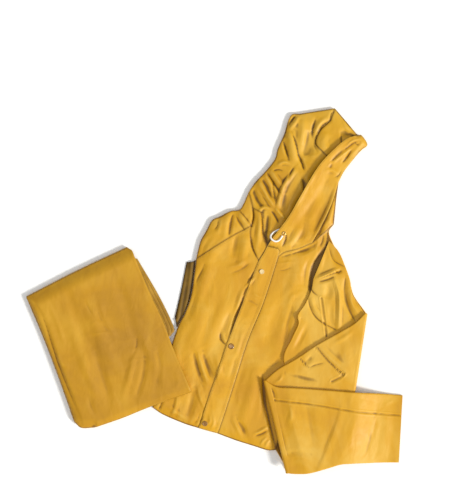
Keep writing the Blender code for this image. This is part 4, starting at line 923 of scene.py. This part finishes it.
def sleeve():
    """The left sleeve as one fine flattened tube, with its folds on whichever layer faces up."""
    rows, stretches = sleeve_stations()
    dense = catmull_rom(rows, SLEEVE_SAMPLES)
    kept = [0]
    for k in range(1, len(dense)):
        turning = stretches[min(k // SLEEVE_SAMPLES, len(stretches) - 1)] == "turn"
        step = SLEEVE_TURN_STEP if turning else SLEEVE_STEP
        travelled = max(np.linalg.norm(dense[k, side] - dense[kept[-1], side])
                        for side in (slice(0, 3), slice(3, 6)))
        if travelled >= step or k == len(dense) - 1:
            kept.append(k)
    fine = dense[kept]
    half_way = SLEEVE_SAMPLES // 2
    stretches = [stretches[min((k + half_way) // SLEEVE_SAMPLES, len(stretches) - 1)] for k in kept]
    under, upper, half = fine[:, :3], fine[:, 3:6], fine[:, 6]
    middles = (under + upper) / 2
    travel = np.gradient(middles, axis=0)
    outer, lifts = sleeve_skin(middles, under, upper, half, travel, 0.0)
    per_ring = len(outer) // len(fine)
    stretch = np.repeat(stretches, per_ring)
    folds = np.zeros(len(outer))
    for lie in ("upper", "middle", "cuff"):
        where = stretch == lie
        folds[where] = relief(outer[where, :2], lie)
    folds *= ease(lifts / 0.9)
    every = np.unique(np.append(np.arange(0, len(fine), 2), len(fine) - 1))
    coarse = (every[:, None] * per_ring + np.arange(0, per_ring, 2)).ravel()
    inner, _ = sleeve_skin(middles, under, upper, half, travel, FINE_WALL)
    points = np.vstack((outer, inner[coarse]))
    points[:, 2] += np.concatenate((folds, folds[coarse]))
    start, per_inner = len(outer), per_ring // 2
    faces = []
    for first, rows, ring, flip in ((0, len(fine), per_ring, False), (start, len(every), per_inner, True)):
        for level in range(rows - 1):
            for k in range(ring):
                a, b = first + level * ring + k, first + level * ring + (k + 1) % ring
                quad = ((a, b + ring, b), (a, a + ring, b + ring))
                faces += [tuple(reversed(f)) for f in quad] if flip else list(quad)
    for level, level_inner, flip in ((0, 0, False), (len(fine) - 1, len(every) - 1, True)):
        for k in range(per_inner):
            a = level * per_ring + 2 * k
            b, c = a + 1, level * per_ring + (2 * k + 2) % per_ring
            d = start + level_inner * per_inner + k
            e = start + level_inner * per_inner + (k + 1) % per_inner
            fan = ((a, b, d), (b, e, d), (b, c, e))
            faces += [tuple(reversed(f)) for f in fan] if flip else list(fan)
    raised = np.concatenate((folds, folds[coarse]))
    # Folds mark for painted light: painted shade in the sleeve's dips, painted highlight on its ridges.
    marks = {"folds": standing_out(raised, faces), "rim": np.zeros(len(points))}
    made = add_mesh("sleeve_left_cloth", points, faces, finishes["cloth"], marks)
    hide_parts("sleeve_left")
    return made


# Finishes


class Finish:
    """A procedural finish: helpers that add nodes and join them."""

    def __init__(self, name):
        self.made = bpy.data.materials.new(name)
        self.made.use_nodes = True
        self.tree = self.made.node_tree
        self.shader = self.tree.nodes["Principled BSDF"]
        self.place = self.add("ShaderNodeTexCoord").outputs["Object"]

    def add(self, kind, **values):
        node = self.tree.nodes.new(kind)
        for name, value in values.items():
            setattr(node, name, value)
        return node

    def join(self, source, target):
        self.tree.links.new(source, target)

    def noise(self, scale, detail=3.0, roughness=0.5, distortion=0.0, stretch=None):
        node = self.add("ShaderNodeTexNoise")
        place = self.place
        if stretch:
            mapping = self.add("ShaderNodeMapping")
            mapping.inputs["Scale"].default_value = stretch[:3]
            mapping.inputs["Rotation"].default_value = (0, 0, math.radians(stretch[3]))
            self.join(self.place, mapping.inputs["Vector"])
            place = mapping.outputs["Vector"]
        self.join(place, node.inputs["Vector"])
        for name, value in (("Scale", scale), ("Detail", detail), ("Roughness", roughness),
                            ("Distortion", distortion)):
            node.inputs[name].default_value = value
        return node.outputs["Fac"]

    def spread(self, value, low, high, to_low=0.0, to_high=1.0):
        node = self.add("ShaderNodeMapRange")
        self.join(value, node.inputs["Value"])
        for name, number in (("From Min", low), ("From Max", high), ("To Min", to_low), ("To Max", to_high)):
            node.inputs[name].default_value = number
        return node.outputs["Result"]

    def ramp(self, value, stops):
        node = self.add("ShaderNodeValToRGB")
        ramp = node.color_ramp
        while len(ramp.elements) < len(stops):
            ramp.elements.new(0.5)
        for element, (position, colour) in zip(ramp.elements, stops):
            element.position = position
            element.color = (*colour, 1)
        self.join(value, node.inputs["Fac"])
        return node.outputs["Color"]

    def mix(self, share, first, second):
        node = self.add("ShaderNodeMix", data_type="RGBA")
        self.join(share, node.inputs[0])
        for target, value in ((node.inputs[6], first), (node.inputs[7], second)):
            if isinstance(value, tuple):
                target.default_value = (*value, 1)
            else:
                self.join(value, target)
        return node.outputs[2]

    def mark(self, name):
        return self.add("ShaderNodeAttribute", attribute_name=name).outputs["Fac"]

    def bump(self, layers):
        """Bumps one on another: value, strength and depth in metres."""
        before = None
        for value, strength, depth in layers:
            node = self.add("ShaderNodeBump")
            node.inputs["Strength"].default_value = strength
            node.inputs["Distance"].default_value = depth
            self.join(value, node.inputs["Height"])
            if before:
                self.join(before, node.inputs["Normal"])
            before = node.outputs["Normal"]
        self.join(before, self.shader.inputs["Normal"])

    def set(self, **values):
        for name, value in values.items():
            self.shader.inputs[name.replace("_", " ")].default_value = value


def coated_cloth(name, dark, middle, light, painted_shade_tone, roughness, grain=24):
    """PVC-coated cloth: mottled gold with a soft broad gloss. Painted shade darkens its creases and the cloth by cut
    edges; painted highlight lightens its ridges and turned edges.
    """
    finish = Finish(name)
    clouds = finish.noise(6.0, 4.0, 0.55, 0.6)
    streaks = finish.noise(17.0, 4.0, 0.55, 0.8, (1.0, 0.33, 1.0, grain))
    tone = finish.ramp(clouds, ((0.3, dark), (0.5, middle), (0.72, light)))
    tone = finish.mix(finish.spread(streaks, 0.52, 0.74, 0.0, 0.6), tone, dark)
    tone = finish.mix(finish.spread(streaks, 0.46, 0.28, 0.0, 0.5), tone, light)
    tone = finish.mix(finish.spread(finish.noise(38.0, 5.0, 0.6), 0.35, 0.75, 0.0, 0.35), tone, middle)
    # Painted shade and highlight: creases (folds mark below zero) take the painted shade tone, ridges (above zero)
    # the light tone.
    folds = finish.mark("folds")
    tone = finish.mix(finish.spread(folds, -0.2, -1.0, 0.0, 0.85), tone, painted_shade_tone)
    tone = finish.mix(finish.spread(folds, 0.3, 1.0, 0.0, 0.5), tone, light)
    # Painted light at the rim: painted shade by a cut edge, painted highlight along a turned edge.
    rim = finish.mark("rim")
    tone = finish.mix(finish.spread(rim, 0.3, 1.0, 0.0, 0.55), tone, painted_shade_tone)
    tone = finish.mix(finish.spread(rim, -0.5, -1.0, 0.0, 0.6), tone, light)
    finish.join(tone, finish.shader.inputs["Base Color"])
    rub = finish.noise(22.0, 4.0, 0.6, 0.4)
    finish.join(finish.spread(rub, 0.3, 0.75, roughness - 0.07, roughness + 0.1),
                finish.shader.inputs["Roughness"])
    weave = finish.noise(1500.0, 1.0, 0.5)
    grain = finish.noise(420.0, 2.0, 0.6)
    ripple = finish.noise(46.0, 3.0, 0.5, 1.2, (1.0, 0.45, 1.0, 22))
    finish.bump(((ripple, 0.35, 0.0022), (grain, 0.25, 0.0003), (weave, 0.2, 0.0001)))
    finish.set(Specular_IOR_Level=0.26, Coat_Weight=0.08, Coat_Roughness=0.4)
    return finish.made


def plain_finish(name, dark, light, roughness, metallic=0.0, scale=120.0, depth=0.0003, coat=0.0):
    finish = Finish(name)
    tone = finish.ramp(finish.noise(scale, 4.0, 0.6), ((0.3, dark), (0.7, light)))
    finish.join(tone, finish.shader.inputs["Base Color"])
    finish.join(finish.spread(finish.noise(scale * 2.5), 0.3, 0.7, roughness - 0.06, roughness + 0.08),
                finish.shader.inputs["Roughness"])
    finish.bump(((finish.noise(scale * 4, 2.0), 0.3, depth),))
    finish.set(Metallic=metallic, Coat_Weight=coat)
    return finish.made


def braid(name):
    """White braided cord: slanting strands by two crossing wave patterns."""
    finish = Finish(name)
    crossed = []
    for turn in (38, -38):
        mapping = finish.add("ShaderNodeMapping")
        mapping.inputs["Rotation"].default_value = (0, 0, math.radians(turn))
        finish.join(finish.place, mapping.inputs["Vector"])
        wave = finish.add("ShaderNodeTexWave")
        wave.inputs["Scale"].default_value = 260.0
        wave.inputs["Distortion"].default_value = 1.2
        finish.join(mapping.outputs["Vector"], wave.inputs["Vector"])
        crossed.append(wave.outputs["Fac"])
    strands = finish.add("ShaderNodeMath", operation="MAXIMUM")
    finish.join(crossed[0], strands.inputs[0])
    finish.join(crossed[1], strands.inputs[1])
    tone = finish.ramp(strands.outputs[0], ((0.2, (0.70, 0.67, 0.60)), (0.7, (0.93, 0.92, 0.88))))
    finish.join(tone, finish.shader.inputs["Base Color"])
    finish.join(finish.spread(finish.noise(300.0), 0.3, 0.7, 0.7, 0.9), finish.shader.inputs["Roughness"])
    finish.bump(((strands.outputs[0], 0.6, 0.0004),))
    finish.set(Sheen_Weight=0.3)
    return finish.made


finishes = {
    "cloth": coated_cloth("gold_cloth", (0.53, 0.245, 0.006), (0.62, 0.315, 0.009), (0.70, 0.42, 0.06),
                          (0.12, 0.045, 0.001), 0.5),
    # Trousers: a darker copy of the gold cloth; the darkness is painted shade for the packet's duller light.
    "cloth_trousers": coated_cloth("gold_cloth_trousers", (0.40, 0.19, 0.008), (0.51, 0.25, 0.006),
                                   (0.59, 0.32, 0.02), (0.12, 0.045, 0.001), 0.5, -24),
    # Hood inside: nearly the gold cloth's tones, with a darker painted shade tone for its deeper creases.
    "cloth_inside": coated_cloth("gold_cloth_inside", (0.50, 0.235, 0.006), (0.61, 0.32, 0.010),
                                 (0.69, 0.42, 0.06), (0.06, 0.022, 0.001), 0.5),
    # Painted shade: a dark copy of the gold cloth for the sleeve folded behind, standing for the shade it lies in.
    "cloth_shaded": coated_cloth("gold_cloth_shaded", (0.05, 0.026, 0.002), (0.13, 0.068, 0.004),
                                 (0.30, 0.16, 0.012), (0.03, 0.012, 0.001), 0.55, 8),
    # Painted shade: a darker copy of the gold cloth for the trousers' fanned edges, standing for the shade between
    # them.
    "leaves_painted_shade": coated_cloth("gold_leaves_painted_shade", (0.22, 0.11, 0.005), (0.33, 0.165, 0.008),
                                 (0.50, 0.28, 0.03), (0.04, 0.016, 0.001), 0.5, -24),
    "snap_brown": plain_finish("snap_brown_cap", (0.20, 0.085, 0.010), (0.37, 0.185, 0.03), 0.36, coat=0.3),
    "snap_cream": plain_finish("snap_cream_cap", (0.58, 0.40, 0.15), (0.78, 0.62, 0.32), 0.38, coat=0.3),
    "eyelet_brass": plain_finish("eyelet_brass_ring", (0.42, 0.27, 0.08), (0.62, 0.44, 0.18), 0.32, 1.0),
    "cord_white": braid("cord_white_braid"),
    "thread": plain_finish("gold_thread", (0.50, 0.26, 0.02), (0.70, 0.42, 0.07), 0.6, scale=900.0),
}


# Camera: straight above the middle of the photograph, with its frame


def look_down():
    x, y = plan((VIEW_MIDDLE,))[0]
    camera = bpy.data.objects.new("camera", bpy.data.cameras.new("camera"))
    camera.location = (x, y, CAMERA_HEIGHT)
    camera.data.sensor_fit = "VERTICAL"
    camera.data.sensor_height = SENSOR
    camera.data.lens = SENSOR * CAMERA_HEIGHT / (PHOTO_SIZE[1] * STEP)
    bpy.context.scene.collection.objects.link(camera)
    bpy.context.scene.camera = camera


def drawstring():
    """The white cord that comes out from under the hood's face edge and goes back in at the eyelet."""
    flat = plan([row[:2] for row in CORD_ROUTE])
    route = np.column_stack((flat, [row[2] / 1000 for row in CORD_ROUTE]))
    points = smooth_curve(route, CORD_DIAMETER * 0.5)
    curve = bpy.data.curves.new("drawstring_cord", "CURVE")
    curve.dimensions = "3D"
    curve.bevel_depth = CORD_DIAMETER / 2
    curve.bevel_resolution = 4
    curve.use_fill_caps = True
    spline = curve.splines.new("POLY")
    spline.points.add(len(points) - 1)
    for target, (x, y, z) in zip(spline.points, points):
        target.co = (x, y, z, 1)
    curve.materials.append(finishes["cord_white"])
    made = bpy.data.objects.new("drawstring_cord", curve)
    bpy.context.scene.collection.objects.link(made)
    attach(made, ROOT)
    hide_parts("drawstring")


# Small parts


def turned(name, node, profile, place, up, finish, sides=40):
    """A solid of revolution on a surface: profile rows are radius and height; a ring where none is on the axis."""
    turn = Vector((0, 0, 1)).rotation_difference(Vector(up).normalized())
    closed = profile[0][0] > 0
    points, faces = [], []
    for radius, height in profile:
        for k in range(sides):
            angle = 2 * math.pi * k / sides
            points.append((max(radius, 1e-6) * math.cos(angle), max(radius, 1e-6) * math.sin(angle), height))
    rows = len(profile)
    for row in range(rows if closed else rows - 1):
        for k in range(sides):
            a, b = row * sides + k, row * sides + (k + 1) % sides
            c, d = (b + sides) % len(points), (a + sides) % len(points)
            faces.append((a, b, c, d))
    made = add_mesh(name, [turn @ Vector(p) + Vector(place) for p in points], faces, finish)
    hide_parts(node)
    return made


def on_cloth(top, x, y, clearance):
    """A place above the cloth at plan point x, y, and the cloth's upward direction there."""
    here = plan(((x, y),))
    reach = 0.004
    east = float((top(here + (reach, 0)) - top(here - (reach, 0)))[0]) / (2 * reach)
    north = float((top(here + (0, reach)) - top(here - (0, reach)))[0]) / (2 * reach)
    up = Vector((-east, -north, 1)).normalized()
    return Vector((*here[0], float(top(here)[0]))) + up * clearance, up


def snaps_and_eyelet():
    for name, x, y, radius in SNAPS:
        place, up = on_cloth(flap_top, x, y, SEAM_GAP * 1.5)
        wide, high = radius / 1000, SNAP_HEIGHT
        profile = ((0, -0.0006), (wide * 0.86, -0.0006), (wide * 0.97, high * 0.1), (wide, high * 0.35),
                   (wide * 0.98, high * 0.65), (wide * 0.9, high * 0.92), (wide * 0.8, high),
                   (wide * 0.72, high * 0.9), (wide * 0.66, high * 0.7), (wide * 0.56, high * 0.62),
                   (wide * 0.3, high * 0.68), (0, high * 0.72))
        finish = "snap_cream" if name == "snap_1" else "snap_brown"
        turned(name + "_cap", name, profile, place, up, finishes[finish])
    place, up = on_cloth(hood_left_top, *EYELET_PLACE, SEAM_GAP * 1.5)
    profile = ((0.0022, -0.0004), (0.0044, -0.0004), (0.0051, 0.0002), (0.0050, 0.0009), (0.0043, 0.0014),
               (0.0033, 0.0015), (0.0024, 0.0010), (0.0020, 0.0002))
    turned("eyelet_ring", "eyelet", profile, place, up, finishes["eyelet_brass"])


# Stitching: name, piece it is sewn on, lines of the cut, offsets to the right (millimetres)
STITCHES = (
    ("stitch_flap_seam", "storm_flap_cloth", ("flap_stitch",), (2.2, 7.5)),
    ("stitch_flap_edge", "storm_flap_cloth", ("flap_edge",), (3.5,)),
    ("stitch_flap_top", "storm_flap_cloth", ("flap_top",), (2.5,)),
    ("stitch_front_seam", "front_left_cloth", ("flap_stitch",), (-2.2,)),
    ("stitch_shoulder", "front_right_cloth", ("shoulder_seam",), (-2.0, -7.0)),
    ("stitch_neck_right", "front_right_cloth", ("neck_right",), (-2.2,)),
    ("stitch_neck_left", "front_left_cloth", ("neck_left",), (2.4,)),
    ("stitch_face_edge", "hood_left_cloth", ("face_edge",), (4.0, 17.0)),
    ("stitch_collar", "collar_right_cloth", ("collar_edge",), (-2.0,)),
    ("stitch_hood_seam", "hood_right_cloth", ("hood_seam",), (2.0,)),
    ("stitch_armhole", "front_left_cloth", ("armhole",), (2.4,)),
    ("stitch_shoulder_top", "shoulder_right_cloth", ("shoulder_top_seam",), (-4.0, 4.0)),
    ("stitch_cuff", "sleeve_left_cloth", ("cuff_seam",), (3.0,)),
    ("stitch_elbow", "sleeve_left_cloth", ("elbow_seam",), (-3.2, 3.2)),
    ("stitch_elbow_end", "sleeve_left_cloth", ("elbow_seam_end",), (3.2,)),
    ("stitch_upper_arm", "sleeve_left_cloth", ("upper_seam",), (-3.2,)),
    ("stitch_brim_ring", "hood_left_cloth", ("brim_ring",), (0.0,)),
    ("stitch_brim", "hood_left_cloth", ("brim_line",), (0.0,)),
)
# Sewn lines that no outline has, in plan steps
SEWN_LINES = {
    "cuff_seam": ((266, 398), (296.5, 401), (318.3, 403.8), (339, 407.4), (363.7, 411.2), (383.5, 413.6),
                  (397, 414.8)),
    "elbow_seam": ((316, 346), (325.3, 357.3), (334, 366), (342.2, 373)),
    "elbow_seam_end": ((342.4, 373), (338.6, 376.5), (331, 380.5)),
    "upper_seam": ((320.7, 298), (323.6, 320), (326, 334)),
    "shoulder_top_seam": ((238.6, 210), (245.5, 218), (251, 226)),
    "brim_ring": ((353, 143), (355, 140.6), (358.6, 140.8), (360, 143.4), (358, 146), (354.6, 145.8), (353, 143)),
    "brim_line": ((346.5, 145.5), (351, 141.5), (359, 138.8)),
}
STITCH_LENGTH = 0.0026
STITCH_PITCH = 0.0040
STITCH_RADIUS = 0.00032


def surface_of(name):
    found = bpy.data.objects[name]
    mesh = found.data
    vertices = [v.co.copy() for v in mesh.vertices]
    return BVHTree.FromPolygons(vertices, [tuple(p.vertices) for p in mesh.polygons])


def stitch_shape(start, end, up):
    """One stitch: a rounded six-sided thread that dips into the cloth at both ends."""
    along = end - start
    run = along.normalized()
    across = run.cross(up).normalized()
    points = []
    for share, radius, lift in ((0, 0.35, -0.6), (0.18, 0.95, 0.25), (0.5, 1.0, 0.55), (0.82, 0.95, 0.25),
                                (1, 0.35, -0.6)):
        middle = start + along * share + up * lift * STITCH_RADIUS
        for k in range(6):
            angle = math.pi * k / 3
            points.append(middle + (across * math.cos(angle) + up * math.sin(angle)) * radius * STITCH_RADIUS)
    faces = [tuple(range(5, -1, -1)), tuple(range(24, 30))]
    for row in range(4):
        for k in range(6):
            a, b = row * 6 + k, row * 6 + (k + 1) % 6
            faces.append((a, b, b + 6, a + 6))
    return points, faces


def sew(name, cloth, path):
    """A row of stitches along a plan path, laid on the cloth where a ray from above meets it."""
    surface = surface_of(cloth)
    length = float(np.sum(np.linalg.norm(np.diff(path, axis=0), axis=1)))
    places = smooth_curve(path, STITCH_PITCH)
    points, faces = [], []
    for number, (start, end) in enumerate(zip(places, places[1:])):
        share = STITCH_LENGTH / STITCH_PITCH
        ends = []
        for x, y in (start, start + (end - start) * share):
            hit, normal, _, _ = surface.ray_cast(Vector((x, y, 1)), Vector((0, 0, -1)))
            if hit and normal.z > 0.4:
                ends.append((hit, normal))
        if len(ends) == 2 and abs(ends[0][0].z - ends[1][0].z) < 0.002:
            made, sides = stitch_shape(ends[0][0], ends[1][0], ends[0][1])
            faces += [tuple(len(points) + v for v in side) for side in sides]
            points += made
    if points:
        add_mesh(name, points, faces, finishes["thread"])


def beside(line, millimetres):
    ahead = np.gradient(line, axis=0)
    ahead /= np.linalg.norm(ahead, axis=1)[:, None]
    return line + np.column_stack((ahead[:, 1], -ahead[:, 0])) * millimetres / 1000


def stitching():
    for name, cloth, lines, offsets in STITCHES:
        path = np.vstack([smooth_curve(plan(SEWN_LINES[line]), 0.004) if line in SEWN_LINES
                          else cut_line(line, 0.004) for line in lines])
        for number, offset in enumerate(offsets):
            sew(f"{name}_{number + 1}", cloth, beside(path, offset))


# Sub-parts


def jacket():
    outline = {name: closed_outline(lines, FINE_RIM) for name, lines in OUTLINES.items()}
    core = "jacket_folded_layers_edges"
    # The last column lists shade lines, where painted shade darkens the cloth; the sleeve behind takes the dark
    # painted-shade copy of the cloth.
    for name, top, finish, below, turned_edge, shade in (
        ("front_right", sinking_top, "cloth", core, False, ()),
        ("front_left", sinking_top, "cloth", core, False, (("armhole", 0.014), ("side_left", 0.010))),
        ("storm_flap", flap_top, "cloth", "front_right_cloth", True, ()),
        ("shoulder_right", jacket_top, "cloth", core, False, ()),
        ("collar_right", jacket_top, "cloth", core, False, (("collar_edge", 0.010),)),
        ("collar_back", jacket_top, "cloth", core, False, (("hood_fold", 0.012),)),
        ("hood_right", sinking_top, "cloth_inside", core, False, (("hood_under", 0.020), ("collar_edge", 0.012))),
        ("hood_crown", sinking_top, "cloth_inside", core, False, (("hood_under_top", 0.018),)),
        ("hood_left", hood_left_top, "cloth", "hood_right_cloth", True, ()),
        ("sleeve_right", back_sleeve_top, "cloth_shaded", core, False, ()),
    ):
        cloth_sheet(name, outline[name], top, finish, turned_edge=turned_edge, shade=shade)
    layered_solid("jacket_folded_layers", closed_outline(OUTLINES["jacket"], 0.006), jacket_core_top,
                  flat_bottom, 3, finishes["cloth"])
    sleeve()


# Fanned edges of the trousers: name, outer line's points from the top down, in plan steps
LEAVES = (
    ("trousers_edge_1", ((134.5, 257.5), (150.5, 291), (165.5, 322.5), (169, 338))),
    ("trousers_edge_2", ((136, 258), (155, 294), (169.5, 324), (171.5, 335))),
    ("trousers_edge_3", ((137.5, 258.5), (159.5, 296.2), (174.0, 327), (172, 334))),
)


def trousers():
    cloth_sheet("trousers_leg_top", closed_outline(OUTLINES["trousers"], FINE_RIM), trousers_top,
                "cloth_trousers", turned_edge=True)
    layered_solid("trousers_folded_layers", closed_outline(OUTLINES["trousers_core"], 0.010),
                  trousers_core_top, trousers_core_bottom, 4, finishes["cloth_trousers"])
    root = smooth_curve(plan(LINES["leaf_root"]), FINE_RIM)[1:]
    for number, (name, rows) in enumerate(LEAVES):
        outer = smooth_curve(plan(rows), FINE_RIM)
        ring = np.vstack((outer[::-1], root + (2 * SEAM_GAP, 0)))
        share = 1 - number * LEAF_SHARE

        def leaf_top(points, outer=outer, share=share):
            away = distance_to(points, outer)[0]
            return (trousers_lie(points) - LEAF_DROP) * share - 0.001 * (1 - ease(away / 0.004))

        ring = ring if polygon_area(ring) > 0 else ring[::-1]
        # The fanned edges take the painted-shade copy of the cloth, with painted shade along the leaf root and
        # notch.
        cloth_sheet(name, ring, leaf_top, "leaves_painted_shade", wall=LEAF_THICKNESS, turned_edge=True,
                    shade=(("leaf_root", 0.012), ("leaf_notch", 0.030)))


# Floor and light


def studio():
    floor = bpy.data.meshes.new("floor")
    reach = 6.0
    floor.from_pydata([(-reach, -reach, 0), (reach, -reach, 0), (reach, reach, 0), (-reach, reach, 0)], [],
                      [(0, 1, 2, 3)])
    paper = Finish("floor_paper")
    tone = paper.ramp(paper.noise(3.0), ((0.0, (0.93, 0.93, 0.92)), (1.0, (0.96, 0.96, 0.95))))
    paper.join(tone, paper.shader.inputs["Base Color"])
    paper.set(Roughness=0.9, Specular_IOR_Level=0.1)
    floor.materials.append(paper.made)
    ground = bpy.data.objects.new("floor", floor)
    bpy.context.scene.collection.objects.link(ground)
    for name, kind, place, size, power, tint in (
        ("key", "SUN", (1.77, -0.94, 1.30), math.radians(12), 3.2, (1.0, 0.985, 0.95)),
        ("top", "AREA", (0.1, -0.35, 3.6), 1.6, 23.0, (1.0, 1.0, 1.0)),
    ):
        light = bpy.data.lights.new(name, kind)
        light.energy = power
        light.color = tint
        if kind == "SUN":
            light.angle = size
        else:
            light.size = size
        made = bpy.data.objects.new(name, light)
        made.location = place
        made.rotation_euler = (Vector((0, 0, 0)) - Vector(place)).to_track_quat("-Z", "Y").to_euler()
        bpy.context.scene.collection.objects.link(made)
    world = bpy.data.worlds.new("studio")
    world.use_nodes = True
    world.node_tree.nodes["Background"].inputs["Color"].default_value = (1.0, 1.0, 1.0, 1)
    world.node_tree.nodes["Background"].inputs["Strength"].default_value = 0.5
    bpy.context.scene.world = world
    bpy.context.scene.view_settings.view_transform = "Standard"


look_down()
drawstring()
jacket()
snaps_and_eyelet()
trousers()
stitching()
studio()
